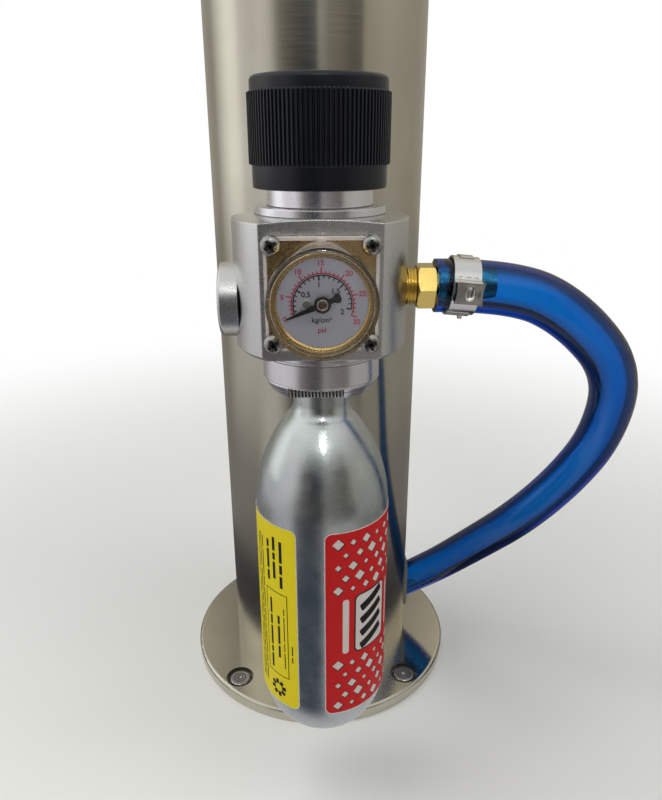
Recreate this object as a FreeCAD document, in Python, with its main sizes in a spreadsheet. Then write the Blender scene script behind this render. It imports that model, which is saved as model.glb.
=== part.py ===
import FreeCAD, Part
import math
import os
from types import SimpleNamespace

import Sketcher

# Draft tower of a mini keg dispenser: a steel column on a round flange, a tap on the far side (+Y)
# and a cartridge regulator on the near side (-Y), joined to the column by a gas hose.
# Origin: column axis on the underside of the flange. +Z is up. Lengths in mm, angles in degrees.

Vector = FreeCAD.Vector
Rotation = FreeCAD.Rotation
Placement = FreeCAD.Placement

# ------------------------------------------------------------------ driving dimensions
SIZES = {
    # column, flange and cap
    "column_radius": 38.1,
    "column_wall": 1.5,
    "column_height": 313.0,
    "flange_radius": 56.0,
    "flange_thickness": 4.8,
    "flange_bore_radius": 30.0,
    "flange_rim_round": 1.2,
    "flange_screw_edge": 7.0,
    "flange_recess_radius": 5.6,
    "flange_recess_depth": 2.2,
    "flange_head_radius": 4.3,
    "flange_head_height": 1.9,
    "flange_head_round": 0.8,
    "flange_shank_radius": 2.5,
    "flange_dimple_radius": 1.3,
    "flange_dimple_depth": 0.9,
    "cap_thickness": 7.0,
    "cap_rim_round": 3.0,
    "cap_skirt_length": 14.0,
    "cap_skirt_wall": 1.2,
    # fits
    "slip_fit": 0.05,
    # stand-off that carries the regulator
    "mount_gap": 18.0,
    "mount_rise": 12.5,
    "standoff_radius": 8.0,
    "mount_bolt_radius": 3.0,
    "mount_head_radius": 5.0,
    "mount_head_height": 4.0,
    "mount_key_flats": 5.0,
    "mount_key_depth": 2.4,
    "mount_washer_radius": 9.0,
    "mount_washer_thickness": 2.5,
    "mount_thread_depth": 8.0,
    "mount_spot_depth": 1.2,
    # regulator body
    "regulator_height": 164.0,
    "body_radius": 23.2,
    "body_height": 34.2,
    "body_chamfer": 0.9,
    "crown_radius": 17.3,
    "crown_rise": 0.9,
    "flat_offset": 17.5,
    "port_rise": 15.6,
    "gauge_rise": 17.45,
    "chamber_radius": 9.5,
    "chamber_depth": 2.5,
    "bonnet_thread_radius": 14.0,
    "bonnet_thread_depth": 7.9,
    "valve_hole_radius": 1.5,
    "valve_bore_radius": 3.0,
    "valve_bore_height": 8.0,
    "pin_bore_radius": 2.0,
    "pin_bore_height": 2.0,
    "gas_way_radius": 1.2,
    "gas_way_offset": 7.0,
    "outlet_bore_start": 15.0,
    # bonnet, knob and spring pack
    "ring_radius": 17.05,
    "ring_thickness": 2.0,
    "neck_radius": 13.8,
    "neck_height": 12.3,
    "neck_bore_radius": 10.5,
    "neck_roof": 2.4,
    "knob_radius": 17.95,
    "knob_band_radius": 17.2,
    "knob_height": 26.1,
    "knob_lower_band": 5.5,
    "knob_upper_band": 3.5,
    "knob_edge": 0.9,
    "knob_gap": 4.3,
    "knob_cavity_radius": 14.6,
    "knob_roof": 5.0,
    "knob_hub_radius": 7.0,
    "knob_hub_gap": 1.0,
    "screw_radius": 4.0,
    "screw_collar_radius": 6.0,
    "screw_collar_height": 1.5,
    "screw_reach": 16.0,
    "seat_thickness": 3.0,
    "seat_drop": 3.2,
    "spring_radius": 7.2,
    "spring_wire_radius": 0.8,
    "spring_turns": 4.5,
    "diaphragm_thickness": 1.0,
    "plate_radius": 9.4,
    "plate_thickness": 1.5,
    "poppet_pin_radius": 1.0,
    "poppet_head_radius": 2.6,
    "poppet_head_height": 2.0,
    "poppet_gap": 0.1,
    "valve_spring_radius": 2.1,
    "valve_spring_wire": 0.3,
    "valve_spring_turns": 4.5,
    # cartridge socket and cartridge
    "socket_radius": 16.3,
    "socket_drop": 11.9,
    "socket_gap": 1.8,
    "socket_step": 0.5,
    "socket_line": 3.4,
    "socket_line_width": 0.35,
    "socket_tip_radius": 14.5,
    "socket_spigot_radius": 11.0,
    "socket_spigot_height": 6.0,
    "vent_radius": 12.4,
    "vent_height": 3.0,
    "vent_width": 14.8,
    "vent_shift": -1.6,
    "pin_radius": 1.1,
    "pin_length": 4.7,
    "pin_point": 1.6,
    "pin_disc_radius": 5.0,
    "pin_disc_height": 1.8,
    "seal_thickness": 1.0,
    "seal_bore_radius": 5.6,
    "cartridge_radius": 20.0,
    "cartridge_length": 136.0,
    "cartridge_wall": 1.7,
    "cartridge_neck_radius": 7.94,
    "cartridge_neck_length": 20.5,
    "cartridge_neck_bore": 4.5,
    "cartridge_mouth_radius": 1.4,
    "cartridge_mouth_wall": 1.2,
    "shoulder_start": 53.0,
    "shoulder_end_radius": 9.8,
    "shoulder_end_drop": 24.4,
    "shoulder_round": 45.2,
    "shoulder_fillet": 6.0,
    "label_height": 65.0,
    "label_base": 18.0,
    "label_thickness": 0.15,
    "red_label_angle": 112.0,
    "yellow_label_angle": 96.0,
    # purge button
    "button_rise": 12.4,
    "button_radius": 10.0,
    "button_reach": 27.1,
    "button_face": 5.4,
    "button_edge": 0.9,
    "button_seat": 19.4,
    "button_stem_radius": 3.0,
    "button_stem_end": 12.6,
    "button_travel": 2.0,
    "button_end_gap": 0.4,
    "button_spring_pocket": 5.2,
    "button_spring_end": 14.0,
    "button_spring_radius": 4.2,
    "button_spring_wire": 0.45,
    "button_spring_turns": 5.0,
    # pressure gauge
    "gauge_foot_side": 26.0,
    "gauge_foot_corner": 1.2,
    "gauge_foot_thickness": 0.8,
    "gauge_cup_radius": 10.8,
    "gauge_cup_depth": 3.2,
    "gauge_cup_wall": 0.8,
    "gauge_bezel_radius": 11.75,
    "gauge_bezel_height": 10.7,
    "dial_radius": 11.0,
    "dial_hole_radius": 1.0,
    "dial_seat": 10.6,
    "dial_thickness": 0.4,
    "window_side": 27.8,
    "window_corner": 1.2,
    "window_gap": 0.05,
    "window_plate": 1.75,
    "window_dome_radius": 13.1,
    "window_dome_bore": 12.05,
    "window_rise": 14.5,
    "window_face": 1.2,
    "window_edge": 0.8,
    "gauge_screw_pitch": 12.1,
    "gauge_screw_radius": 1.1,
    "gauge_screw_head_radius": 2.5,
    "gauge_screw_head_height": 1.7,
    "gauge_screw_head_round": 0.85,
    "gauge_screw_depth": 5.0,
    "gauge_screw_slot_width": 0.8,
    "gauge_screw_slot_length": 3.1,
    "gauge_screw_slot_depth": 1.0,
    "pointer_tip": 9.3,
    "pointer_tail": 4.8,
    "pointer_width": 2.0,
    "pointer_tip_width": 0.3,
    "pointer_thickness": 0.3,
    "pointer_lift": 0.9,
    "pointer_hub_radius": 1.95,
    "pointer_hub_height": 1.2,
    "pointer_hub_bore": 0.9,
    "arbor_radius": 0.5,
    "pinion_radius": 1.5,
    "pinion_height": 1.3,
    "pinion_depth": 2.5,
    "movement_rise": 5.0,
    "movement_thickness": 0.6,
    "sector_centre": 6.5,
    "sector_radius": 4.95,
    "sector_boss_radius": 1.0,
    "sector_thickness": 1.1,
    "sector_pin_radius": 0.5,
    "bourdon_radius": 8.6,
    "bourdon_tube_radius": 0.9,
    # outlet, hose and clamp
    "outlet_thread_radius": 5.14,
    "outlet_hex_start": 25.9,
    "outlet_hex_flats": 11.1,
    "outlet_hex_length": 5.1,
    "outlet_barb_gap": 1.0,
    "outlet_stem_radius": 3.2,
    "outlet_barb_radius": 3.9,
    "outlet_barb_pitch": 5.1,
    "outlet_bore_radius": 2.2,
    "hose_radius": 7.25,
    "hose_bore_radius": 3.97,
    "clamp_centre": 38.4,
    "clamp_width": 7.4,
    "clamp_thickness": 0.6,
    "clamp_ear_height": 3.4,
    "clamp_ear_width": 5.8,
    "clamp_ear_wall": 0.6,
    "clamp_tail_width": 3.6,
    "clamp_tail_angle": 70.0,
    "grommet_clearance": 0.3,
    "grommet_wall": 1.5,
    "grommet_lip": 1.4,
    # tap
    "tap_clearance": 1.8,
    "collar_radius": 19.0,
    "collar_depth": 10.0,
    "collar_round": 2.0,
    "shank_radius": 11.1,
    "shank_bore_radius": 4.0,
    "shank_inner_length": 34.0,
    "shank_flange_radius": 17.0,
    "shank_flange_thickness": 3.0,
    "shank_neck_radius": 11.5,
    "shank_neck_length": 4.0,
    "shank_rim_radius": 13.4,
    "shank_rim_thickness": 2.0,
    "shank_nut_flats": 30.0,
    "shank_nut_thickness": 8.0,
    "shank_washer_radius": 17.0,
    "shank_washer_thickness": 4.5,
    "coupling_radius": 17.5,
    "coupling_length": 15.7,
    "coupling_thread_radius": 14.2,
    "coupling_start": 0.3,
    "coupling_hole_radius": 1.6,
    "coupling_hole_depth": 2.0,
    "coupling_chamfer": 0.8,
    "gasket_thickness": 1.5,
    "gasket_bore_radius": 6.5,
    "faucet_thread_length": 8.5,
    "faucet_collar_radius": 13.0,
    "faucet_collar_length": 4.0,
    "faucet_barrel_radius": 10.0,
    "faucet_seat_radius": 5.0,
    "faucet_seat_length": 4.0,
    "faucet_back_radius": 9.0,
    "faucet_bore_radius": 7.0,
    "faucet_bore_end": 60.0,
    "spout_radius": 9.6,
    "spout_tip_radius": 8.6,
    "spout_bore_radius": 6.5,
    "spout_bend": 22.0,
    "spout_start": 66.0,
    "spout_drop": 30.0,
    "pivot_distance": 50.0,
    "pivot_rise": 14.0,
    "boss_radius": 13.5,
    "boss_depth": 10.6,
    "boss_shoulder": 0.2,
    "boss_thread_radius": 11.4,
    "boss_top_gap": 0.2,
    "ball_radius": 6.0,
    "ball_clearance": 0.1,
    "ball_seat_radius": 4.7,
    "ball_seat_drop": 4.0,
    "ball_washer_rise": 2.8,
    "ball_washer_height": 1.4,
    "ball_washer_wide": 5.45,
    "ball_washer_narrow": 4.95,
    "pin_throat_radius": 6.7,
    "pin_throat_drop": 9.0,
    "bonnet_radius": 14.6,
    "bonnet_rise": 10.0,
    "bonnet_opening": 7.9,
    "bonnet_edge": 1.5,
    "lever_waist_radius": 2.6,
    "lever_waist_rise": 14.6,
    "lever_radius": 4.0,
    "lever_rise": 30.0,
    "lever_thread_length": 12.0,
    "lever_pin_radius": 1.9,
    "lever_pin_drop": 11.1,
    "ferrule_radius": 6.6,
    "ferrule_height": 4.5,
    "handle_base_radius": 7.0,
    "handle_waist_radius": 8.2,
    "handle_top_radius": 12.0,
    "handle_height": 76.0,
    "handle_waist_rise": 26.0,
    "handle_shoulder_rise": 61.0,
    "handle_crown": 5.0,
    "plunger_radius": 2.4,
    "plunger_disc_radius": 5.6,
    "plunger_disc_height": 1.6,
    "plunger_groove": 5.2,
    "plunger_head_radius": 6.5,
    "plunger_head_height": 1.6,
    "plunger_seal_radius": 6.9,
    "plunger_seal_height": 2.0,
    "tail_flange_radius": 7.6,
    "tail_flange_thickness": 1.8,
    "tail_radius": 3.2,
    "tail_bore_radius": 2.2,
    "tail_barb_radius": 4.2,
    "tail_length": 14.0,
    "tail_barb_pitch": 4.2,
    "tail_nut_length": 11.0,
    "tail_nut_lip": 2.6,
    "tail_nut_flats": 27.0,
    "tail_washer_thickness": 1.6,
}

# Centre line of the gas hose, from the face of the outlet hexagon to just inside the column.
HOSE_ROUTE = [
    (31.0, -79.3, 179.6),
    (51.3, -79.3, 179.6),
    (70.0, -77.2, 171.7),
    (91.2, -68.6, 150.8),
    (97.2, -50.2, 121.0),
    (89.8, -41.0, 98.8),
    (77.0, -34.2, 79.6),
    (66.5, -18.8, 59.4),
    (50.0, 1.0, 32.2),
    (32.2, 7.0, 18.8),
]
HOSE_ARC_SHARE = 0.45

# Counts, and angles that no length depends on.
FLANGE_SCREWS = 4
OUTLET_BARBS = 3
COUPLING_HOLES = 6
OUTLET_HEX_TURN = 96.0
CLAMP_TAIL_TURN = 55.0
RED_LABEL_TURN = -89.5
YELLOW_LABEL_TURN = 152.0
POINTER_ZERO_ANGLE = 204.0
SECTOR_HALF_ANGLE = 34.0
SECTOR_REST_ANGLE = -33.3
BOURDON_SWEEP = 250.0

# Turns that lay a part's own +Z along another axis of the tower.
TO_FRONT = Rotation(Vector(1, 0, 0), 90)
TO_TAP = Rotation(Vector(1, 0, 0), -90)
TO_RIGHT = Rotation(Vector(0, 1, 0), 90)
TO_LEFT = Rotation(Vector(0, 1, 0), -90)
UPRIGHT = Rotation()

doc = FreeCAD.newDocument("DraftTower")
sheet = doc.addObject("Spreadsheet::Sheet", "Sizes")
for row, (alias, amount) in enumerate(SIZES.items(), start=1):
    sheet.set(f"A{row}", alias)
    sheet.set(f"B{row}", str(amount))
    sheet.setAlias(f"B{row}", alias)
doc.recompute()


# ------------------------------------------------------------------ sizes that stay bound to the sheet
class Size:
    """A number together with the sheet expression it comes from."""

    def __init__(self, value, text):
        self.value = value
        self.text = text

    def _join(self, other, sign, value, swap=False):
        left, right = (text_of(other), self.text) if swap else (self.text, text_of(other))
        return Size(value, f"({left} {sign} {right})")

    def __add__(self, other):
        return self._join(other, "+", self.value + value_of(other))

    def __radd__(self, other):
        return self._join(other, "+", value_of(other) + self.value, swap=True)

    def __sub__(self, other):
        return self._join(other, "-", self.value - value_of(other))

    def __rsub__(self, other):
        return self._join(other, "-", value_of(other) - self.value, swap=True)

    def __mul__(self, other):
        return self._join(other, "*", self.value * value_of(other))

    def __rmul__(self, other):
        return self._join(other, "*", value_of(other) * self.value, swap=True)

    def __truediv__(self, other):
        return self._join(other, "/", self.value / value_of(other))

    def __neg__(self):
        return Size(-self.value, f"(0 - {self.text})")


def value_of(size):
    return size.value if isinstance(size, Size) else float(size)


def text_of(size):
    return size.text if isinstance(size, Size) else repr(float(size))


S = SimpleNamespace(**{alias: Size(float(sheet.get(alias)), f"Sizes.{alias}") for alias in SIZES})

# Places that several pieces share.
COLUMN_TOP = S.flange_thickness + S.column_height
COLUMN_BORE = S.column_radius - S.column_wall
REGULATOR_Y = -(S.column_radius + S.mount_gap + S.body_radius)
CROWN_TOP = S.regulator_height + S.body_height + S.crown_rise
DIAPHRAGM_Z = CROWN_TOP - S.bonnet_thread_depth
BONNET_Z = DIAPHRAGM_Z + S.diaphragm_thickness
RING_TOP = CROWN_TOP + S.ring_thickness
NECK_TOP = RING_TOP + S.neck_height
KNOB_Z = RING_TOP + S.knob_gap
PORT_Z = S.regulator_height + S.port_rise
GAUGE_Z = S.regulator_height + S.gauge_rise
MOUNT_Z = S.regulator_height + S.mount_rise
FLAT_Y = REGULATOR_Y - S.flat_offset
NECK_ROOF_Z = NECK_TOP - S.neck_roof
SEAT_Z = NECK_ROOF_Z - S.seat_drop - S.seat_thickness
SPRING_Z = BONNET_Z + S.plate_thickness
VALVE_FLOOR_Z = S.regulator_height + S.socket_spigot_height + S.pin_bore_height
SOCKET_TOP_Z = S.regulator_height + S.socket_spigot_height
CARTRIDGE_TOP = SOCKET_TOP_Z - S.pin_disc_height - S.seal_thickness
SHANK_FLANGE_END = S.collar_depth + S.shank_flange_thickness
SHANK_END = SHANK_FLANGE_END + S.shank_neck_length + S.shank_rim_thickness
FAUCET_START = SHANK_END + S.gasket_thickness
FAUCET_BODY_START = FAUCET_START + S.faucet_thread_length
TAP_Y = S.column_radius
TAP_Z = COLUMN_TOP - S.cap_skirt_length - S.tap_clearance - S.shank_washer_radius
SCREW_CIRCLE = S.flange_radius - S.flange_screw_edge
BUTTON_BORE_END = S.button_stem_end - S.button_travel - S.button_end_gap
GROMMET_BORE = S.hose_radius + S.grommet_clearance
GROMMET_RADIUS = GROMMET_BORE + S.grommet_wall
BOSS_SHOULDER = S.faucet_barrel_radius + S.boss_shoulder
BALL_SEAT = S.pivot_rise - S.ball_seat_drop
BALL_WASHER_BASE = S.pivot_rise + S.ball_washer_rise
BALL_WASHER_TOP = BALL_WASHER_BASE + S.ball_washer_height
BOSS_TOP = BALL_WASHER_TOP - S.boss_top_gap
BONNET_TOP = S.pivot_rise + S.bonnet_rise
LEVER_TOP = S.pivot_rise + S.lever_rise

nodes = []


# ------------------------------------------------------------------ drawing helpers
def keep(thing, label):
    """Name a finished piece and list it for export."""
    thing.Label = label
    nodes.append(thing)
    return thing


def bind(thing, name, size):
    """Give a property its value and, where it comes from the sheet, its expression."""
    if isinstance(size, Size):
        thing.setExpression(name, size.text)
    elif "." not in name:
        setattr(thing, name, size)


def place(thing, at, turn=UPRIGHT):
    """Set a piece's Placement and bind its base to the sheet."""
    thing.Placement = Placement(Vector(*(value_of(part) for part in at)), turn)
    for axis, part in zip("xyz", at):
        bind(thing, f"Placement.Base.{axis}", part)
    return thing


def new_body(name, at=(0, 0, 0), turn=UPRIGHT):
    return place(doc.addObject("PartDesign::Body", name), at, turn)


def new_sketch(body, plane="XZ_Plane", lift=0):
    """A sketch on one of the body's own origin planes, lifted along its normal."""
    sketch = body.newObject("Sketcher::SketchObject", f"{body.Name}_sketch")
    origin_plane = next(part for part in body.Origin.OriginFeatures if part.Role == plane)
    sketch.AttachmentSupport = [(origin_plane, "")]
    sketch.MapMode = "FlatFace"
    sketch.AttachmentOffset = Placement(Vector(0, 0, value_of(lift)), UPRIGHT)
    bind(sketch, "AttachmentOffset.Base.z", lift)
    return sketch


def constrain(sketch, kind, target, size):
    """Add a dimension, tied to the sheet."""
    index = sketch.addConstraint(Sketcher.Constraint(kind, *target, value_of(size)))
    if isinstance(size, Size):
        sketch.setExpression(f"Constraints[{index}]", size.text)


def arc_between(start, end, radius):
    """Arc from start to end: counter-clockwise for a positive radius, clockwise for a negative one."""
    if radius < 0:
        return arc_between(end, start, -radius)
    chord = end - start
    side = Vector(-chord.y, chord.x, 0).normalize()
    rise = math.sqrt(max(radius ** 2 - (chord.Length / 2) ** 2, 0))
    centre = (start + end) * 0.5 + side * rise
    first = math.atan2(start.y - centre.y, start.x - centre.x)
    last = math.atan2(end.y - centre.y, end.x - centre.x)
    if last < first:
        last += 2 * math.pi
    return Part.ArcOfCircle(Part.Circle(centre, Vector(0, 0, 1), radius), first, last)


def outline(sketch, points):
    """Closed outline. A third value at a point makes the side that starts there an arc."""
    places = [Vector(value_of(point[0]), value_of(point[1]), 0) for point in points]
    ends = []
    for index, point in enumerate(points):
        start, end = places[index], places[(index + 1) % len(points)]
        radius = point[2] if len(point) > 2 else None
        if radius is None:
            curve = sketch.addGeometry(Part.LineSegment(start, end), False)
        else:
            curve = sketch.addGeometry(arc_between(start, end, value_of(radius)), False)
            constrain(sketch, "Radius", (curve,), radius if value_of(radius) > 0 else -radius)
        backwards = radius is not None and value_of(radius) < 0
        ends.append((curve, 2, 1) if backwards else (curve, 1, 2))
    for index, (curve, first, last) in enumerate(ends):
        after, after_first, _ = ends[(index + 1) % len(ends)]
        sketch.addConstraint(Sketcher.Constraint("Coincident", curve, last, after, after_first))
        constrain(sketch, "DistanceX", (-1, 1, curve, first), points[index][0])
        constrain(sketch, "DistanceY", (-1, 1, curve, first), points[index][1])
    return sketch


def circle(sketch, x, y, radius):
    centre = Vector(value_of(x), value_of(y), 0)
    index = sketch.addGeometry(Part.Circle(centre, Vector(0, 0, 1), value_of(radius)), False)
    constrain(sketch, "Radius", (index,), radius)
    constrain(sketch, "DistanceX", (-1, 1, index, 3), x)
    constrain(sketch, "DistanceY", (-1, 1, index, 3), y)
    return sketch


def hexagon(flats, turn=0.0):
    """Corners of a hexagon across flats, its first corner at the given angle."""
    corners = []
    for step in range(6):
        angle = math.radians(turn + 60 * step)
        reach = flats / math.sqrt(3)
        corners.append((reach * math.cos(angle), reach * math.sin(angle)))
    return corners


def feature(body, kind, sketch, **settings):
    """Add a PartDesign feature made from a sketch."""
    thing = body.newObject(f"PartDesign::{kind}", f"{body.Name}_{kind.lower()}")
    thing.Profile = sketch
    for name, size in settings.items():
        bind(thing, name, size)
    sketch.Visibility = False
    return thing


def turn_profile(body, points, kind="Revolution", angle=360.0):
    """Turn a profile of (radius, height) points about the body's Z axis."""
    sketch = outline(new_sketch(body), points)
    return feature(body, kind, sketch, ReferenceAxis=(sketch, ["V_Axis"]), Angle=angle)


def turned(name, label, points, at=(0, 0, 0), turn=UPRIGHT, angle=360.0):
    """A lathe-turned piece."""
    body = new_body(name, at, turn)
    turn_profile(body, points, angle=angle)
    return keep(body, label)


def cut(body, sketch, depth, forward=True):
    """Pocket along the sketch normal, or against it, and make sure that it removes material."""
    doc.recompute()
    before = body.Shape.Volume
    pocket = feature(body, "Pocket", sketch, Length=depth)
    pocket.Reversed = forward
    doc.recompute()
    if body.Shape.Volume > before - 1e-6:
        raise RuntimeError(f"{body.Name}: a pocket removes nothing")
    return pocket


def cut_round(body, plane, lift, centre, radius, depth, forward=True):
    return cut(body, circle(new_sketch(body, plane, lift), *centre, radius), depth, forward)


def repeat_round(body, features, sketch, count):
    """Repeat features about the normal of a sketch through its origin."""
    pattern = body.newObject("PartDesign::PolarPattern", f"{body.Name}_pattern")
    pattern.Originals = features
    pattern.Axis = (sketch, ["N_Axis"])
    pattern.Angle = 360
    pattern.Occurrences = count
    body.Tip = pattern
    return pattern


def solid(kind, name, at=(0, 0, 0), turn=UPRIGHT, **settings):
    """A Part primitive with bound sizes."""
    thing = doc.addObject(f"Part::{kind}", name)
    for prop, size in settings.items():
        bind(thing, prop, size)
    return place(thing, at, turn)


def rod(name, radius, length, at=(0, 0, 0), turn=UPRIGHT):
    return solid("Cylinder", name, at, turn, Radius=radius, Height=length)


def minus(name, base, tool):
    thing = doc.addObject("Part::Cut", name)
    thing.Base = base
    thing.Tool = tool
    return thing


def shared(name, first, second):
    thing = doc.addObject("Part::Common", name)
    thing.Base = first
    thing.Tool = second
    return thing


def joined(name, pieces):
    thing = doc.addObject("Part::MultiFuse", name)
    thing.Shapes = pieces
    return thing


def grouped(name, label, pieces):
    """Several equal solids in one node."""
    thing = doc.addObject("Part::Compound", name)
    thing.Links = pieces
    return keep(thing, label)


def coil(name, label, radius, wire, length, turns, at, turn=UPRIGHT):
    """A compression spring wound about its own Z axis, its wire ends inside the given length."""
    body = new_body(name, at, turn)
    sketch = circle(new_sketch(body), radius, wire, wire)
    helix = body.newObject("PartDesign::AdditiveHelix", f"{name}_helix")
    helix.Profile = sketch
    helix.ReferenceAxis = (sketch, ["V_Axis"])
    helix.Mode = "height-turns-angle"
    bind(helix, "Height", length - wire * 2)
    bind(helix, "Turns", turns)
    return keep(body, label)


# ------------------------------------------------------------------ column, flange and cap
def make_flange():
    body = new_body("Flange")
    turn_profile(body, [
        (S.flange_bore_radius, 0),
        (S.flange_radius, 0),
        (S.flange_radius, S.flange_thickness - S.flange_rim_round, S.flange_rim_round),
        (S.flange_radius - S.flange_rim_round, S.flange_thickness),
        (S.flange_bore_radius, S.flange_thickness),
    ])
    diagonal = SCREW_CIRCLE * math.sqrt(0.5)
    recess_sketch = new_sketch(body, "XY_Plane", S.flange_thickness)
    circle(recess_sketch, diagonal, diagonal, S.flange_recess_radius)
    recess = cut(body, recess_sketch, S.flange_recess_depth, forward=False)
    hole_sketch = new_sketch(body, "XY_Plane", S.flange_thickness)
    circle(hole_sketch, diagonal, diagonal, S.flange_shank_radius + S.slip_fit)
    hole = cut(body, hole_sketch, S.flange_thickness, forward=False)
    repeat_round(body, [recess, hole], recess_sketch, FLANGE_SCREWS)
    keep(body, "base_flange")


def make_flange_screws():
    """Four screws with low round heads, a small drive dimple and shanks flush with the underside."""
    seat = S.flange_thickness - S.flange_recess_depth
    crown = seat + S.flange_head_height
    diagonal = SCREW_CIRCLE * math.sqrt(0.5)
    screws = []
    for index, (side_x, side_y) in enumerate([(1, 1), (-1, 1), (-1, -1), (1, -1)]):
        screw = new_body(f"FlangeScrew{index}", (diagonal * side_x, diagonal * side_y, 0))
        turn_profile(screw, [
            (0, 0),
            (S.flange_shank_radius, 0),
            (S.flange_shank_radius, seat),
            (S.flange_head_radius, seat),
            (S.flange_head_radius, crown - S.flange_head_round, S.flange_head_round),
            (S.flange_head_radius - S.flange_head_round, crown),
            (S.flange_dimple_radius, crown),
            (0, crown - S.flange_dimple_depth),
        ])
        screws.append(screw)
    grouped("FlangeScrews", "flange_screws", screws)


def make_column():
    body = new_body("Column", (0, 0, S.flange_thickness))
    turn_profile(body, [
        (COLUMN_BORE, 0),
        (S.column_radius, 0),
        (S.column_radius, S.column_height),
        (COLUMN_BORE, S.column_height),
    ])
    shank_place = (0, TAP_Z - S.flange_thickness)
    cut_round(body, "XZ_Plane", 0, shank_place, S.shank_radius + S.slip_fit,
              S.column_radius + S.column_wall, forward=False)
    bolt_place = (0, MOUNT_Z - S.flange_thickness)
    cut_round(body, "XZ_Plane", 0, bolt_place, S.mount_bolt_radius + S.slip_fit,
              S.column_radius + S.column_wall)
    hose_hole = body.newObject("PartDesign::SubtractiveCylinder", "Column_hose_hole")
    bind(hose_hole, "Radius", GROMMET_RADIUS)
    bind(hose_hole, "Height", S.column_radius)
    start, turn = hose_entry()
    place(hose_hole, (start.x, start.y, start.z - S.flange_thickness), turn)
    keep(body, "tower_column")


def make_cap():
    skirt = COLUMN_BORE - S.slip_fit
    turned("Cap", "tower_cap", [
        (0, 0),
        (skirt - S.cap_skirt_wall, 0),
        (skirt - S.cap_skirt_wall, -S.cap_skirt_length),
        (skirt, -S.cap_skirt_length),
        (skirt, 0),
        (S.column_radius, 0),
        (S.column_radius, S.cap_thickness - S.cap_rim_round, S.cap_rim_round),
        (S.column_radius - S.cap_rim_round, S.cap_thickness),
        (0, S.cap_thickness),
    ], at=(0, 0, COLUMN_TOP))


def hose_entry():
    """Start and turn of the straight stretch on which the hose goes into the column."""
    start = Vector(*HOSE_ROUTE[-2])
    return start, Rotation(Vector(0, 0, 1), Vector(*HOSE_ROUTE[-1]) - start)


def make_grommet():
    """Rubber sleeve round the hose, with a lip on each side of the column wall."""
    start, turn = hose_entry()
    at = (start.x, start.y, start.z)
    sleeve = rod("GrommetSleeve", GROMMET_RADIUS, S.column_radius, at, turn)
    lip = rod("GrommetLip", GROMMET_RADIUS + S.grommet_lip, S.column_radius, at, turn)
    way = rod("GrommetWay", GROMMET_BORE, S.column_radius, at, turn)
    outer = rod("GrommetOuter", S.column_radius + S.grommet_lip, COLUMN_TOP)
    wall = rod("GrommetWallOuter", S.column_radius, COLUMN_TOP)
    bore = rod("GrommetBore", COLUMN_BORE, COLUMN_TOP)
    inner = rod("GrommetInner", COLUMN_BORE - S.grommet_lip, COLUMN_TOP)
    outside = minus("GrommetOutside", shared("GrommetLipOuter", lip, outer), wall)
    inside = minus("GrommetInside", shared("GrommetLipInner", lip, bore), inner)
    through = minus("GrommetThrough", shared("GrommetSleeveOuter", sleeve, outer), inner)
    whole = joined("GrommetWhole", [outside, through, inside])
    keep(minus("Grommet", whole, way), "hose_grommet")


# ------------------------------------------------------------------ stand-off that carries the regulator
def make_standoff():
    """Round spacer, saddle-cut against the column and flat against the regulator."""
    reach = S.column_radius + S.mount_gap + S.mount_spot_depth
    blank = rod("StandoffBlank", S.standoff_radius, reach, (0, 0, MOUNT_Z), TO_FRONT)
    column = rod("StandoffColumn", S.column_radius, COLUMN_TOP)
    hole = rod("StandoffHole", S.mount_bolt_radius + S.slip_fit, reach, (0, 0, MOUNT_Z), TO_FRONT)
    keep(minus("Standoff", minus("StandoffSaddle", blank, column), hole), "mount_standoff")


def make_mount_washer():
    """Saddle washer: curved against the bore of the column, flat under the bolt head."""
    inner_face = COLUMN_BORE - S.mount_washer_thickness
    at = (0, -inner_face, MOUNT_Z)
    blank = rod("MountWasherBlank", S.mount_washer_radius, S.mount_washer_thickness, at, TO_FRONT)
    bore = rod("MountWasherBore", COLUMN_BORE, COLUMN_TOP)
    hole = rod("MountWasherHole", S.mount_bolt_radius + S.slip_fit, S.mount_washer_thickness, at, TO_FRONT)
    keep(minus("MountWasher", shared("MountWasherSaddle", blank, bore), hole), "mount_washer")


def make_mount_bolt():
    """Socket-head bolt, from inside the column into the back of the regulator."""
    inner_face = COLUMN_BORE - S.mount_washer_thickness
    reach = S.column_radius + S.mount_gap + S.mount_thread_depth - inner_face
    body = new_body("MountBolt", (0, -inner_face, MOUNT_Z), TO_FRONT)
    turn_profile(body, [
        (0, -S.mount_head_height),
        (S.mount_head_radius, -S.mount_head_height),
        (S.mount_head_radius, 0),
        (S.mount_bolt_radius, 0),
        (S.mount_bolt_radius, reach),
        (0, reach),
    ])
    key = outline(new_sketch(body, "XY_Plane", -S.mount_head_height), hexagon(S.mount_key_flats))
    cut(body, key, S.mount_key_depth)
    keep(body, "mount_bolt")


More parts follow.
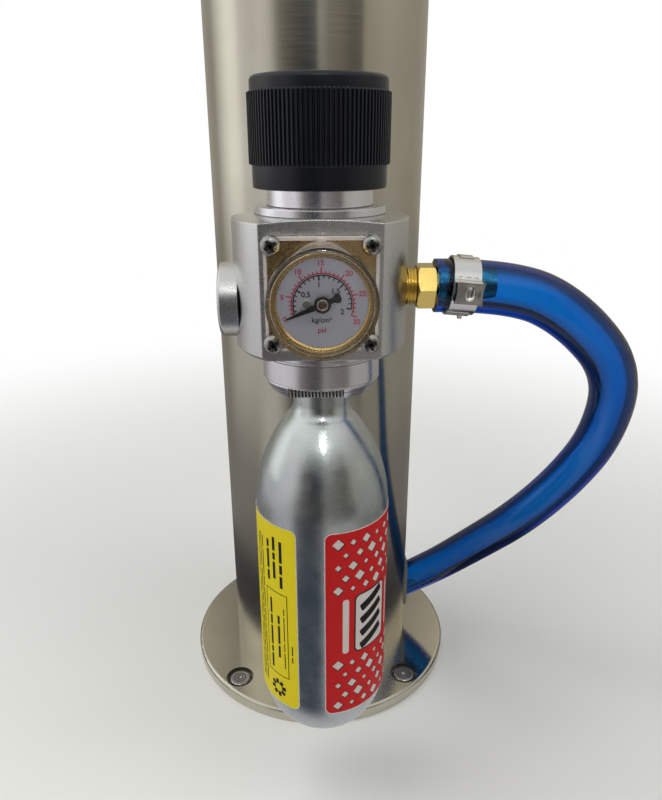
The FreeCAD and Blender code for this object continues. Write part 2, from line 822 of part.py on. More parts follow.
# ------------------------------------------------------------------ regulator
def make_regulator_body():
    floor = S.body_height + S.crown_rise - S.bonnet_thread_depth
    chamber_floor = floor - S.chamber_depth
    valve_floor = VALVE_FLOOR_Z - S.regulator_height
    valve_roof = valve_floor + S.valve_bore_height
    spigot_roof = S.socket_spigot_height
    body = new_body("RegulatorBody", (0, REGULATOR_Y, S.regulator_height))
    turn_profile(body, [
        (S.socket_spigot_radius + S.slip_fit, 0),
        (S.body_radius - S.body_chamfer, 0),
        (S.body_radius, S.body_chamfer),
        (S.body_radius, S.body_height),
        (S.crown_radius, S.body_height + S.crown_rise),
        (S.bonnet_thread_radius, S.body_height + S.crown_rise),
        (S.bonnet_thread_radius, floor),
        (S.chamber_radius, floor),
        (S.chamber_radius, chamber_floor),
        (S.valve_hole_radius, chamber_floor),
        (S.valve_hole_radius, valve_roof),
        (S.valve_bore_radius, valve_roof),
        (S.valve_bore_radius, valve_floor),
        (S.pin_bore_radius, valve_floor),
        (S.pin_bore_radius, spigot_roof),
        (S.socket_spigot_radius + S.slip_fit, spigot_roof),
    ])
    # flat for the gauge
    flat = new_sketch(body, "XZ_Plane", S.flat_offset)
    outline(flat, [
        (-S.body_radius, 0),
        (S.body_radius, 0),
        (S.body_radius, S.body_height + S.crown_rise),
        (-S.body_radius, S.body_height + S.crown_rise),
    ])
    cut(body, flat, S.body_radius)
    # pocket for the gauge cup and its four screw holes
    cut_round(body, "XZ_Plane", S.flat_offset, (0, S.gauge_rise),
              S.gauge_cup_radius + S.slip_fit, S.gauge_cup_depth + S.slip_fit, forward=False)
    holes = new_sketch(body, "XZ_Plane", S.flat_offset)
    for side_x, side_z in [(1, 1), (-1, 1), (-1, -1), (1, -1)]:
        circle(holes, S.gauge_screw_pitch * side_x, S.gauge_rise + S.gauge_screw_pitch * side_z,
               S.gauge_screw_radius)
    cut(body, holes, S.gauge_screw_depth, forward=False)
    # outlet thread on the right, and its way up to the diaphragm chamber
    cut_round(body, "YZ_Plane", S.outlet_bore_start, (0, S.port_rise),
              S.outlet_thread_radius, S.body_radius)
    cut_round(body, "YZ_Plane", S.gas_way_offset, (0, S.port_rise),
              S.outlet_bore_radius, S.outlet_bore_start - S.gas_way_offset)
    cut_round(body, "XY_Plane", S.port_rise, (S.gas_way_offset + S.gas_way_radius, 0),
              S.gas_way_radius, chamber_floor - S.port_rise)
    # purge button on the left: recess, spring pocket and stem bore
    button_place = (0, S.button_rise)
    cut_round(body, "YZ_Plane", -S.button_seat, button_place,
              S.button_radius + S.slip_fit, S.body_radius, forward=False)
    cut_round(body, "YZ_Plane", -S.button_spring_end, button_place,
              S.button_spring_pocket, S.button_seat - S.button_spring_end, forward=False)
    cut_round(body, "YZ_Plane", -BUTTON_BORE_END, button_place,
              S.button_stem_radius + S.slip_fit, S.button_spring_end - BUTTON_BORE_END, forward=False)
    # spot face and thread for the stand-off at the back
    mount_place = (0, S.mount_rise)
    cut_round(body, "XZ_Plane", -(S.body_radius - S.mount_spot_depth), mount_place,
              S.standoff_radius + S.slip_fit, S.body_radius, forward=False)
    cut_round(body, "XZ_Plane", -(S.body_radius - S.mount_thread_depth - S.slip_fit), mount_place,
              S.mount_bolt_radius, S.body_radius, forward=False)
    keep(body, "regulator_body")


def make_bonnet_neck():
    """Threaded bonnet: clamps the diaphragm, carries the spring and guides the knob."""
    base = BONNET_Z
    turned("BonnetNeck", "bonnet_neck", [
        (S.neck_bore_radius, 0),
        (S.bonnet_thread_radius - S.slip_fit, 0),
        (S.bonnet_thread_radius - S.slip_fit, CROWN_TOP - base),
        (S.ring_radius, CROWN_TOP - base),
        (S.ring_radius, RING_TOP - base),
        (S.neck_radius, RING_TOP - base),
        (S.neck_radius, NECK_TOP - base),
        (S.screw_radius + S.slip_fit, NECK_TOP - base),
        (S.screw_radius + S.slip_fit, NECK_ROOF_Z - base),
        (S.neck_bore_radius, NECK_ROOF_Z - base),
    ], at=(0, REGULATOR_Y, base))


def make_knob():
    hub_base = NECK_TOP + S.knob_hub_gap - KNOB_Z
    roof = S.knob_height - S.knob_roof
    knurl_top = S.knob_height - S.knob_upper_band
    turned("Knob", "pressure_knob", [
        (S.knob_cavity_radius, 0),
        (S.knob_band_radius - S.knob_edge, 0),
        (S.knob_band_radius, S.knob_edge),
        (S.knob_band_radius, S.knob_lower_band),
        (S.knob_radius, S.knob_lower_band),
        (S.knob_radius, knurl_top),
        (S.knob_band_radius, knurl_top),
        (S.knob_band_radius, S.knob_height - S.knob_edge, S.knob_edge),
        (S.knob_band_radius - S.knob_edge, S.knob_height),
        (0, S.knob_height),
        (0, roof),
        (S.screw_radius, roof),
        (S.screw_radius, hub_base),
        (S.knob_hub_radius, hub_base),
        (S.knob_hub_radius, roof),
        (S.knob_cavity_radius, roof),
    ], at=(0, REGULATOR_Y, KNOB_Z))


def make_adjusting_screw():
    """Screw fixed in the knob. Its collar runs under the roof of the neck."""
    base = NECK_ROOF_Z - S.screw_reach
    collar_top = S.screw_reach - S.slip_fit
    turned("AdjustingScrew", "adjusting_screw", [
        (0, 0),
        (S.screw_radius, 0),
        (S.screw_radius, collar_top - S.screw_collar_height),
        (S.screw_collar_radius, collar_top - S.screw_collar_height),
        (S.screw_collar_radius, collar_top),
        (S.screw_radius, collar_top),
        (S.screw_radius, KNOB_Z + S.knob_height - S.knob_roof - base),
        (0, KNOB_Z + S.knob_height - S.knob_roof - base),
    ], at=(0, REGULATOR_Y, base))


def make_spring_pack():
    """Travelling nut, main spring, pressure plate and diaphragm."""
    turned("SpringSeat", "spring_seat", [
        (S.screw_radius + S.slip_fit, 0),
        (S.neck_bore_radius - S.slip_fit, 0),
        (S.neck_bore_radius - S.slip_fit, S.seat_thickness),
        (S.screw_radius + S.slip_fit, S.seat_thickness),
    ], at=(0, REGULATOR_Y, SEAT_Z))
    coil("RangeSpring", "range_spring", S.spring_radius, S.spring_wire_radius,
         SEAT_Z - SPRING_Z, S.spring_turns, at=(0, REGULATOR_Y, SPRING_Z))
    turned("PressurePlate", "diaphragm_plate", [
        (0, 0),
        (S.plate_radius, 0),
        (S.plate_radius, S.plate_thickness),
        (0, S.plate_thickness),
    ], at=(0, REGULATOR_Y, BONNET_Z))
    turned("Diaphragm", "diaphragm", [
        (0, 0),
        (S.bonnet_thread_radius - S.slip_fit, 0),
        (S.bonnet_thread_radius - S.slip_fit, S.diaphragm_thickness),
        (0, S.diaphragm_thickness),
    ], at=(0, REGULATOR_Y, DIAPHRAGM_Z))


def make_valve():
    """Poppet under the diaphragm, and the small spring that closes it."""
    seat = VALVE_FLOOR_Z + S.valve_bore_height - S.slip_fit
    head = seat - S.poppet_head_height
    turned("Poppet", "valve_poppet", [
        (0, 0),
        (S.poppet_head_radius, 0),
        (S.poppet_head_radius, S.poppet_head_height),
        (S.poppet_pin_radius, S.poppet_head_height),
        (S.poppet_pin_radius, DIAPHRAGM_Z - S.poppet_gap - head),
        (0, DIAPHRAGM_Z - S.poppet_gap - head),
    ], at=(0, REGULATOR_Y, head))
    coil("ValveSpring", "valve_spring", S.valve_spring_radius, S.valve_spring_wire,
         head - VALVE_FLOOR_Z, S.valve_spring_turns, at=(0, REGULATOR_Y, VALVE_FLOOR_Z))


def make_socket():
    """Threaded socket of the cartridge. A chamfered tip carries the vent window."""
    neck = S.cartridge_neck_radius + S.slip_fit
    tip = -S.socket_drop
    line = tip + S.socket_line
    roof = CARTRIDGE_TOP + S.seal_thickness - S.regulator_height
    body = new_body("Socket", (0, REGULATOR_Y, S.regulator_height))
    turn_profile(body, [
        (neck, tip),
        (S.socket_tip_radius, tip),
        (S.socket_radius, line - S.socket_line_width),
        (S.socket_radius - S.socket_line_width, line - S.socket_line_width),
        (S.socket_radius - S.socket_line_width, line),
        (S.socket_radius, line),
        (S.socket_radius, -S.socket_gap),
        (S.socket_radius - S.socket_step, -S.socket_gap),
        (S.socket_radius - S.socket_step, 0),
        (S.socket_spigot_radius, 0),
        (S.socket_spigot_radius, S.socket_spigot_height),
        (S.pin_disc_radius + S.slip_fit, S.socket_spigot_height),
        (S.pin_disc_radius + S.slip_fit, roof),
        (neck, roof),
    ])
    window = new_sketch(body, "XZ_Plane", S.vent_radius)
    outline(window, [
        (S.vent_shift - S.vent_width / 2, tip),
        (S.vent_shift + S.vent_width / 2, tip),
        (S.vent_shift + S.vent_width / 2, tip + S.vent_height),
        (S.vent_shift - S.vent_width / 2, tip + S.vent_height),
    ])
    cut(body, window, S.socket_radius)
    keep(body, "cartridge_socket")


def make_piercing_pin():
    disc_base = SOCKET_TOP_Z - S.pin_disc_height
    turned("PiercingPin", "piercing_pin", [
        (0, -S.pin_length),
        (S.pin_radius, S.pin_point - S.pin_length),
        (S.pin_radius, 0),
        (S.pin_disc_radius, 0),
        (S.pin_disc_radius, S.pin_disc_height),
        (0, S.pin_disc_height),
    ], at=(0, REGULATOR_Y, disc_base))


def make_socket_seal():
    turned("SocketSeal", "socket_seal", [
        (S.seal_bore_radius, 0),
        (S.cartridge_neck_radius, 0),
        (S.cartridge_neck_radius, S.seal_thickness),
        (S.seal_bore_radius, S.seal_thickness),
    ], at=(0, REGULATOR_Y, CARTRIDGE_TOP))


def make_cartridge():
    """Hollow steel cartridge with a round bottom, a drawn shoulder and a threaded neck."""
    top = S.cartridge_length
    shoulder = top - S.shoulder_start
    neck_base = top - S.cartridge_neck_length
    shoulder_end = top - S.shoulder_end_drop
    inner = S.cartridge_radius - S.cartridge_wall
    inner_round = S.shoulder_round - S.cartridge_wall
    inner_neck = S.cartridge_neck_bore
    turned("Cartridge", "gas_cartridge", [
        (0, 0, S.cartridge_radius),
        (S.cartridge_radius, S.cartridge_radius),
        (S.cartridge_radius, shoulder, S.shoulder_round),
        (S.shoulder_end_radius, shoulder_end, -S.shoulder_fillet),
        (S.cartridge_neck_radius, neck_base),
        (S.cartridge_neck_radius, top),
        (S.cartridge_mouth_radius, top),
        (S.cartridge_mouth_radius, top - S.cartridge_mouth_wall),
        (inner_neck, top - S.cartridge_mouth_wall),
        (inner_neck, shoulder_end - S.cartridge_wall, -inner_round),
        (inner, shoulder),
        (inner, S.cartridge_radius, -inner),
        (0, S.cartridge_wall),
    ], at=(0, REGULATOR_Y, CARTRIDGE_TOP - top))


def make_label(name, label, angle, turn):
    """Thin sleeve segment on the cartridge, centred on the given direction."""
    inner = S.cartridge_radius + S.slip_fit
    base = CARTRIDGE_TOP - S.cartridge_length + S.label_base
    turned(name, label, [
        (inner, 0),
        (inner + S.label_thickness, 0),
        (inner + S.label_thickness, S.label_height),
        (inner, S.label_height),
    ], at=(0, REGULATOR_Y, base), turn=Rotation(Vector(0, 0, 1), turn), angle=angle)


def make_button():
    """Purge button: a round cap on a stem, with its return spring."""
    at = (0, REGULATOR_Y, S.regulator_height + S.button_rise)
    back = S.button_reach - S.button_face
    turned("Button", "purge_button", [
        (0, S.button_stem_end),
        (S.button_stem_radius, S.button_stem_end),
        (S.button_stem_radius, back),
        (S.button_radius, back),
        (S.button_radius, S.button_reach - S.button_edge, S.button_edge),
        (S.button_radius - S.button_edge, S.button_reach),
        (0, S.button_reach),
    ], at=at, turn=TO_LEFT)
    coil("ButtonSpring", "button_spring", S.button_spring_radius, S.button_spring_wire,
         back - S.button_spring_end, S.button_spring_turns,
         at=(-S.button_spring_end, REGULATOR_Y, S.regulator_height + S.button_rise), turn=TO_LEFT)


# ------------------------------------------------------------------ gauge (own +Z points at the reader)
def gauge_at(depth=0):
    return (0, FLAT_Y - depth, GAUGE_Z)


def rounded_square(sketch, side, corner):
    """Square outline with quarter-round corners, centred on the sketch origin."""
    half = side / 2
    flat = half - corner
    outline(sketch, [
        (flat, -half, corner), (half, -flat),
        (half, flat, corner), (flat, half),
        (-flat, half, corner), (-half, flat),
        (-half, -flat, corner), (-flat, -half),
    ])
    return sketch


def make_gauge_case():
    """Brass case: square foot, cup in the regulator and raised bezel round the dial."""
    body = new_body("GaugeCase", gauge_at(), TO_FRONT)
    inner = S.gauge_cup_radius - S.gauge_cup_wall
    bezel_bore = S.dial_radius + S.slip_fit
    bezel_top = S.gauge_foot_thickness + S.gauge_bezel_height
    foot = rounded_square(new_sketch(body, "XY_Plane"), S.gauge_foot_side, S.gauge_foot_corner)
    feature(body, "Pad", foot, Length=S.gauge_foot_thickness)
    cut_round(body, "XY_Plane", 0, (0, 0), inner, S.gauge_foot_thickness)
    turn_profile(body, [
        (0, -S.gauge_cup_depth),
        (S.gauge_cup_radius, -S.gauge_cup_depth),
        (S.gauge_cup_radius, 0),
        (S.gauge_bezel_radius, 0),
        (S.gauge_bezel_radius, bezel_top),
        (bezel_bore, bezel_top),
        (bezel_bore, S.dial_seat),
        (inner, S.dial_seat),
        (inner, S.gauge_cup_wall - S.gauge_cup_depth),
        (0, S.gauge_cup_wall - S.gauge_cup_depth),
    ])
    holes = new_sketch(body, "XY_Plane")
    for side_x, side_y in [(1, 1), (-1, 1), (-1, -1), (1, -1)]:
        circle(holes, S.gauge_screw_pitch * side_x, S.gauge_screw_pitch * side_y,
               S.gauge_screw_radius + S.slip_fit)
    cut(body, holes, S.gauge_foot_thickness)
    keep(body, "gauge_case")


def make_gauge_window():
    """Clear cover: square plate with a raised round cap over the dial."""
    base = S.gauge_foot_thickness + S.window_gap
    body = new_body("GaugeWindow", gauge_at(base), TO_FRONT)
    rise = S.window_rise - base
    plate = rounded_square(new_sketch(body, "XY_Plane"), S.window_side, S.window_corner)
    feature(body, "Pad", plate, Length=S.window_plate)
    cut_round(body, "XY_Plane", 0, (0, 0), S.window_dome_bore, S.window_plate)
    turn_profile(body, [
        (S.window_dome_bore, 0),
        (S.window_dome_radius, 0),
        (S.window_dome_radius, rise - S.window_edge, S.window_edge),
        (S.window_dome_radius - S.window_edge, rise),
        (0, rise),
        (0, rise - S.window_face),
        (S.window_dome_bore, rise - S.window_face),
    ])
    holes = new_sketch(body, "XY_Plane")
    for side_x, side_y in [(1, 1), (-1, 1), (-1, -1), (1, -1)]:
        circle(holes, S.gauge_screw_pitch * side_x, S.gauge_screw_pitch * side_y,
               S.gauge_screw_radius + S.slip_fit)
    cut(body, holes, S.window_plate)
    keep(body, "gauge_window")


def make_gauge_screws():
    seat = S.gauge_foot_thickness + S.window_gap + S.window_plate
    crown = S.gauge_screw_head_height - S.gauge_screw_head_round
    across, along = S.gauge_screw_slot_width / 2, S.gauge_screw_slot_length / 2
    screws = []
    for index, (side_x, side_z) in enumerate([(1, 1), (-1, 1), (-1, -1), (1, -1)]):
        at = (S.gauge_screw_pitch * side_x, FLAT_Y - seat, GAUGE_Z + S.gauge_screw_pitch * side_z)
        screw = new_body(f"GaugeScrew{index}", at, TO_FRONT)
        turn_profile(screw, [
            (0, -(seat + S.gauge_screw_depth)),
            (S.gauge_screw_radius, -(seat + S.gauge_screw_depth)),
            (S.gauge_screw_radius, 0),
            (S.gauge_screw_head_radius, 0),
            (S.gauge_screw_head_radius, crown, S.gauge_screw_head_round),
            (S.gauge_screw_head_radius - S.gauge_screw_head_round, S.gauge_screw_head_height),
            (0, S.gauge_screw_head_height),
        ])
        for half_x, half_y in [(across, along), (along, across)]:
            slot = new_sketch(screw, "XY_Plane", S.gauge_screw_head_height)
            outline(slot, [(-half_x, -half_y), (half_x, -half_y), (half_x, half_y), (-half_x, half_y)])
            cut(screw, slot, S.gauge_screw_slot_depth, forward=False)
        screws.append(screw)
    grouped("GaugeScrews", "gauge_screws", screws)


def make_dial():
    turned("Dial", "gauge_dial", [
        (S.dial_hole_radius, 0),
        (S.dial_radius, 0),
        (S.dial_radius, S.dial_thickness),
        (S.dial_hole_radius, S.dial_thickness),
    ], at=gauge_at(S.dial_seat), turn=TO_FRONT)


def make_pointer():
    """Tapered hand with a counterweight and a hub, drawn at the zero mark."""
    lift = S.dial_seat + S.dial_thickness + S.pointer_lift
    zero_turn = TO_FRONT.multiply(Rotation(Vector(0, 0, 1), POINTER_ZERO_ANGLE))
    body = new_body("Pointer", gauge_at(lift), zero_turn)
    blade = new_sketch(body, "XY_Plane")
    half = S.pointer_width / 2
    outline(blade, [
        (-S.pointer_tail, -half),
        (0, -half),
        (S.pointer_tip, -S.pointer_tip_width / 2),
        (S.pointer_tip, S.pointer_tip_width / 2),
        (0, half),
        (-S.pointer_tail, half),
    ])
    feature(body, "Pad", blade, Length=S.pointer_thickness)
    turn_profile(body, [
        (0, 0),
        (S.pointer_hub_radius, 0),
        (S.pointer_hub_radius, S.pointer_hub_height),
        (0, S.pointer_hub_height),
    ])
    cut_round(body, "XY_Plane", 0, (0, 0), S.arbor_radius, S.pointer_hub_bore)
    keep(body, "gauge_pointer")


def make_arbor():
    """Pointer arbor with its pinion, running from the cup floor to the hub."""
    floor = S.gauge_cup_wall - S.gauge_cup_depth + S.slip_fit
    hub = S.dial_seat + S.dial_thickness + S.pointer_lift + S.pointer_hub_bore
    pinion_base = S.movement_rise - S.pinion_depth
    pinion_top = pinion_base + S.pinion_height
    turned("Arbor", "pointer_arbor", [
        (0, floor),
        (S.arbor_radius, floor),
        (S.arbor_radius, pinion_base),
        (S.pinion_radius, pinion_base),
        (S.pinion_radius, pinion_top),
        (S.arbor_radius, pinion_top),
        (S.arbor_radius, hub),
        (0, hub),
    ], at=gauge_at(), turn=TO_FRONT)


def make_movement():
    """Movement plate, sector gear and the curved pressure tube behind the dial."""
    inner = S.gauge_cup_radius - S.gauge_cup_wall - S.slip_fit
    body = new_body("MovementPlate", gauge_at(S.movement_rise), TO_FRONT)
    turn_profile(body, [
        (S.arbor_radius + S.slip_fit, 0),
        (inner, 0),
        (inner, S.movement_thickness),
        (S.arbor_radius + S.slip_fit, S.movement_thickness),
    ])
    cut_round(body, "XY_Plane", 0, (-S.sector_centre, 0), S.sector_pin_radius + S.slip_fit,
              S.movement_thickness)
    keep(body, "movement_plate")
    rest_turn = TO_FRONT.multiply(Rotation(Vector(0, 0, 1), SECTOR_REST_ANGLE))
    sector = new_body("Sector", (-S.sector_centre, FLAT_Y, GAUGE_Z), rest_turn)
    boss_floor = S.movement_rise - S.pinion_depth
    reach = S.sector_radius
    lift = new_sketch(sector, "XY_Plane", boss_floor)
    spread = math.radians(SECTOR_HALF_ANGLE)
    outline(lift, [
        (-S.sector_boss_radius, -S.sector_boss_radius),
        (reach * math.cos(spread), -reach * math.sin(spread), reach),
        (reach * math.cos(spread), reach * math.sin(spread)),
        (-S.sector_boss_radius, S.sector_boss_radius),
    ])
    feature(sector, "Pad", lift, Length=S.sector_thickness)
    pin = circle(new_sketch(sector, "XY_Plane", boss_floor), 0, 0, S.sector_pin_radius)
    feature(sector, "Pad", pin, Length=S.pinion_depth + S.movement_thickness)
    keep(sector, "sector_gear")
    floor = S.gauge_cup_depth - S.gauge_cup_wall
    tube_depth = floor - S.bourdon_tube_radius - S.slip_fit
    tube = solid("Torus", "BourdonTube", (0, FLAT_Y + tube_depth, GAUGE_Z), TO_FRONT,
                 Radius1=S.bourdon_radius, Radius2=S.bourdon_tube_radius, Angle3=BOURDON_SWEEP)
    keep(tube, "bourdon_tube")


# ------------------------------------------------------------------ outlet, clamp and hose
def make_outlet():
    """Brass hose tail: pipe thread, hexagon and barbs on one axis."""
    body = new_body("Outlet", (0, REGULATOR_Y, PORT_Z), TO_RIGHT)
    hex_end = S.outlet_hex_start + S.outlet_hex_length
    points = [
        (S.outlet_bore_radius, S.outlet_bore_start),
        (S.outlet_thread_radius, S.outlet_bore_start),
        (S.outlet_thread_radius, S.outlet_hex_start),
        (S.outlet_stem_radius, S.outlet_hex_start),
    ]
    start = hex_end + S.outlet_barb_gap
    points.append((S.outlet_stem_radius, start))
    for barb in range(OUTLET_BARBS):
        end = start + S.outlet_barb_pitch
        points.append((S.outlet_barb_radius, start))
        points.append((S.outlet_stem_radius, end))
        start = end
    points.append((S.outlet_bore_radius, start))
    turn_profile(body, points)
    nut = new_sketch(body, "XY_Plane", S.outlet_hex_start)
    outline(nut, hexagon(S.outlet_hex_flats, OUTLET_HEX_TURN))
    circle(nut, 0, 0, S.outlet_bore_radius)
    feature(body, "Pad", nut, Length=S.outlet_hex_length)
    keep(body, "outlet_fitting")


def make_clamp():
    """Stainless ear clamp: a band round the hose with one raised ear at the front."""
    band_radius = S.hose_radius + S.clamp_thickness
    start = S.clamp_centre - S.clamp_width / 2
    at = (start, REGULATOR_Y, PORT_Z)
    tail_start = S.clamp_centre - S.clamp_tail_width / 2
    band = rod("ClampBand", band_radius, S.clamp_width, at, TO_RIGHT)
    tail = rod("ClampTail", band_radius + S.clamp_thickness, S.clamp_tail_width,
               (tail_start, REGULATOR_Y, PORT_Z),
               Rotation(Vector(1, 0, 0), CLAMP_TAIL_TURN).multiply(TO_RIGHT))
    bind(tail, "Angle", S.clamp_tail_angle)
    ear = solid("Box", "ClampEar",
                (start, REGULATOR_Y - band_radius - S.clamp_ear_height, PORT_Z - S.clamp_ear_width / 2),
                Length=S.clamp_width, Width=band_radius + S.clamp_ear_height, Height=S.clamp_ear_width)
    hollow = solid("Box", "ClampEarHollow",
                   (start, REGULATOR_Y - band_radius - S.clamp_ear_height + S.clamp_ear_wall,
                    PORT_Z - S.clamp_ear_width / 2 + S.clamp_ear_wall),
                   Length=S.clamp_width, Width=S.clamp_ear_height + S.clamp_thickness * 2,
                   Height=S.clamp_ear_width - S.clamp_ear_wall * 2)
    bore = rod("ClampBore", S.hose_radius, S.clamp_width, at, TO_RIGHT)
    whole = minus("ClampShell", joined("ClampWhole", [band, tail, ear]), hollow)
    keep(minus("Clamp", whole, bore), "ear_clamp")


def rounded_path(points):
    """Straight runs joined by tangent arcs, as large as the shorter run at each point allows."""
    corners = [Vector(*point) for point in points]
    edges = []
    radii = []
    here = corners[0]
    for before, corner, after in zip(corners, corners[1:], corners[2:]):
        back = (before - corner).normalize()
        ahead = (after - corner).normalize()
        turn = math.pi - back.getAngle(ahead)
        reach = HOSE_ARC_SHARE * min((before - corner).Length, (after - corner).Length)
        radius = reach / math.tan(turn / 2)
        middle = corner + (back + ahead).normalize() * (radius / math.cos(turn / 2) - radius)
        start, end = corner + back * reach, corner + ahead * reach
        edges.append(Part.LineSegment(here, start).toShape())
        edges.append(Part.Arc(start, middle, end).toShape())
        radii.append(radius)
        here = end
    edges.append(Part.LineSegment(here, corners[-1]).toShape())
    return Part.Wire(edges), radii


def swept_tube(path, radius):
    start = path.Edges[0].Vertexes[0].Point
    direction = path.Edges[0].tangentAt(path.Edges[0].FirstParameter)
    ring = Part.Wire(Part.Circle(start, direction, radius).toShape())
    return path.makePipeShell([ring], True, True)


def make_hose():
    """Gas hose: one plain tube along its route."""
    path, radii = rounded_path(HOSE_ROUTE)
    outer = swept_tube(path, S.hose_radius.value)
    bore = swept_tube(path, S.hose_bore_radius.value)
    hose = doc.addObject("Part::Feature", "Hose")
    hose.Shape = outer.cut(bore)
    section = math.pi * (S.hose_radius.value ** 2 - S.hose_bore_radius.value ** 2)
    share = hose.Shape.Volume / (section * path.Length)
    print("hose radii", [round(radius, 1) for radius in radii])
    print("hose length", round(path.Length, 1), "volume share", round(share, 5))
    keep(hose, "gas_hose")


# ------------------------------------------------------------------ tap (own +Z points away from the column)
def tap_at(distance=0):
    return (0, TAP_Y + distance, TAP_Z)


def make_shank():
    """Threaded shank through the column wall, with a flange and a rim for the coupling nut."""
    turned("Shank", "tap_shank", [
        (S.shank_bore_radius, -S.shank_inner_length),
        (S.shank_radius, -S.shank_inner_length),
        (S.shank_radius, S.collar_depth),
        (S.shank_flange_radius, S.collar_depth),
        (S.shank_flange_radius, SHANK_FLANGE_END),
        (S.shank_neck_radius, SHANK_FLANGE_END),
        (S.shank_neck_radius, SHANK_END - S.shank_rim_thickness),
        (S.shank_rim_radius, SHANK_END - S.shank_rim_thickness),
        (S.shank_rim_radius, SHANK_END),
        (S.shank_bore_radius, SHANK_END),
    ], at=tap_at(), turn=TO_TAP)


def make_shank_collar():
    """Black trim between the column and the shank flange, saddle-cut to the column."""
    blank = new_body("CollarBlank", (0, 0, TAP_Z), TO_TAP)
    end = S.column_radius + S.collar_depth
    turn_profile(blank, [
        (S.shank_radius + S.slip_fit, 0),
        (S.collar_radius, 0),
        (S.collar_radius, end - S.collar_round, S.collar_round),
        (S.collar_radius - S.collar_round, end),
        (S.shank_radius + S.slip_fit, end),
    ])
    column = rod("CollarColumn", S.column_radius, COLUMN_TOP)
    keep(minus("Collar", blank, column), "shank_collar")


def make_shank_washer():
    """Saddle washer against the bore of the column."""
    inner_face = COLUMN_BORE - S.shank_washer_thickness
    blank = rod("ShankWasherBlank", S.shank_washer_radius, S.shank_washer_thickness,
                (0, inner_face, TAP_Z), TO_TAP)
    bore = rod("ShankWasherBore", COLUMN_BORE, COLUMN_TOP)
    hole = rod("ShankWasherHole", S.shank_radius + S.slip_fit, S.column_radius, (0, 0, TAP_Z), TO_TAP)
    keep(minus("ShankWasher", shared("ShankWasherSaddle", blank, bore), hole), "shank_washer")


def make_shank_nut():
    top = -(S.column_wall + S.shank_washer_thickness)
    body = new_body("ShankNut", tap_at(), TO_TAP)
    nut = outline(new_sketch(body, "XY_Plane", top - S.shank_nut_thickness), hexagon(S.shank_nut_flats))
    circle(nut, 0, 0, S.shank_radius + S.slip_fit)
    feature(body, "Pad", nut, Length=S.shank_nut_thickness)
    keep(body, "shank_nut")


def make_tail():
    """Barbed tail piece for the beer line, its washer and its nut on the inner end of the shank."""
    end = -S.shank_inner_length
    face = end - S.tail_washer_thickness
    turned("TailWasher", "tail_washer", [
        (S.shank_bore_radius, face),
        (S.tail_flange_radius, face),
        (S.tail_flange_radius, end),
        (S.shank_bore_radius, end),
    ], at=tap_at(), turn=TO_TAP)
    back = face - S.tail_flange_thickness
    tip = back - S.tail_length
    turned("TailPiece", "tail_piece", [
        (S.tail_bore_radius, tip),
        (S.tail_radius, tip),
        (S.tail_barb_radius, tip + S.tail_barb_pitch),
        (S.tail_radius, tip + S.tail_barb_pitch),
        (S.tail_barb_radius, tip + S.tail_barb_pitch * 2),
        (S.tail_radius, tip + S.tail_barb_pitch * 2),
        (S.tail_radius, back),
        (S.tail_flange_radius, back),
        (S.tail_flange_radius, face),
        (S.tail_bore_radius, face),
    ], at=tap_at(), turn=TO_TAP)
    nut_start = back - S.tail_nut_lip
    nut_body = new_body("TailNut", tap_at(), TO_TAP)
    sketch = outline(new_sketch(nut_body, "XY_Plane", nut_start), hexagon(S.tail_nut_flats))
    circle(sketch, 0, 0, S.tail_barb_radius + S.slip_fit)
    feature(nut_body, "Pad", sketch, Length=S.tail_nut_length)
    cut_round(nut_body, "XY_Plane", back, (0, 0), S.shank_radius + S.slip_fit,
              S.tail_nut_length)
    keep(nut_body, "tail_nut")


def make_coupling_nut():
    start = SHANK_FLANGE_END + S.coupling_start
    end = start + S.coupling_length
    lip_end = SHANK_END - S.shank_rim_thickness - S.slip_fit
    body = new_body("CouplingNut", tap_at(), TO_TAP)
    turn_profile(body, [
        (S.shank_neck_radius + S.slip_fit, start),
        (S.coupling_radius - S.coupling_chamfer, start),
        (S.coupling_radius, start + S.coupling_chamfer),
        (S.coupling_radius, end - S.coupling_chamfer),
        (S.coupling_radius - S.coupling_chamfer, end),
        (S.coupling_thread_radius + S.slip_fit, end),
        (S.coupling_thread_radius + S.slip_fit, lip_end),
        (S.shank_neck_radius + S.slip_fit, lip_end),
    ])
    middle = start + S.coupling_length / 2
    hole_sketch = new_sketch(body, "XZ_Plane", S.coupling_radius)
    circle(hole_sketch, 0, middle, S.coupling_hole_radius)
    hole = cut(body, hole_sketch, S.coupling_hole_depth, forward=False)
    axis = new_sketch(body, "XY_Plane")
    circle(axis, 0, 0, S.coupling_radius)
    repeat_round(body, [hole], axis, COUPLING_HOLES)
    axis.Visibility = False
    keep(body, "coupling_nut")


def make_gasket():
    turned("Gasket", "faucet_gasket", [
        (S.gasket_bore_radius, 0),
        (S.shank_rim_radius, 0),
        (S.shank_rim_radius, S.gasket_thickness),
        (S.gasket_bore_radius, S.gasket_thickness),
    ], at=tap_at(SHANK_END), turn=TO_TAP)


def tap_rod(name, radius, start, length):
    """Cylinder along the tap axis, from a distance in front of the column."""
    return rod(name, radius, length, tap_at(start), TO_TAP)


def post(name, radius, base, height):
    """Upright cylinder on the pivot axis of the lever. Heights count from the tap axis."""
    return rod(name, radius, height, (0, TAP_Y + S.pivot_distance, TAP_Z + base))


def spout_bend(name, radius):
    at = (0, TAP_Y + S.spout_start, TAP_Z - S.spout_bend)
    return solid("Torus", name, at, TO_LEFT, Radius1=S.spout_bend, Radius2=radius, Angle3=90.0)


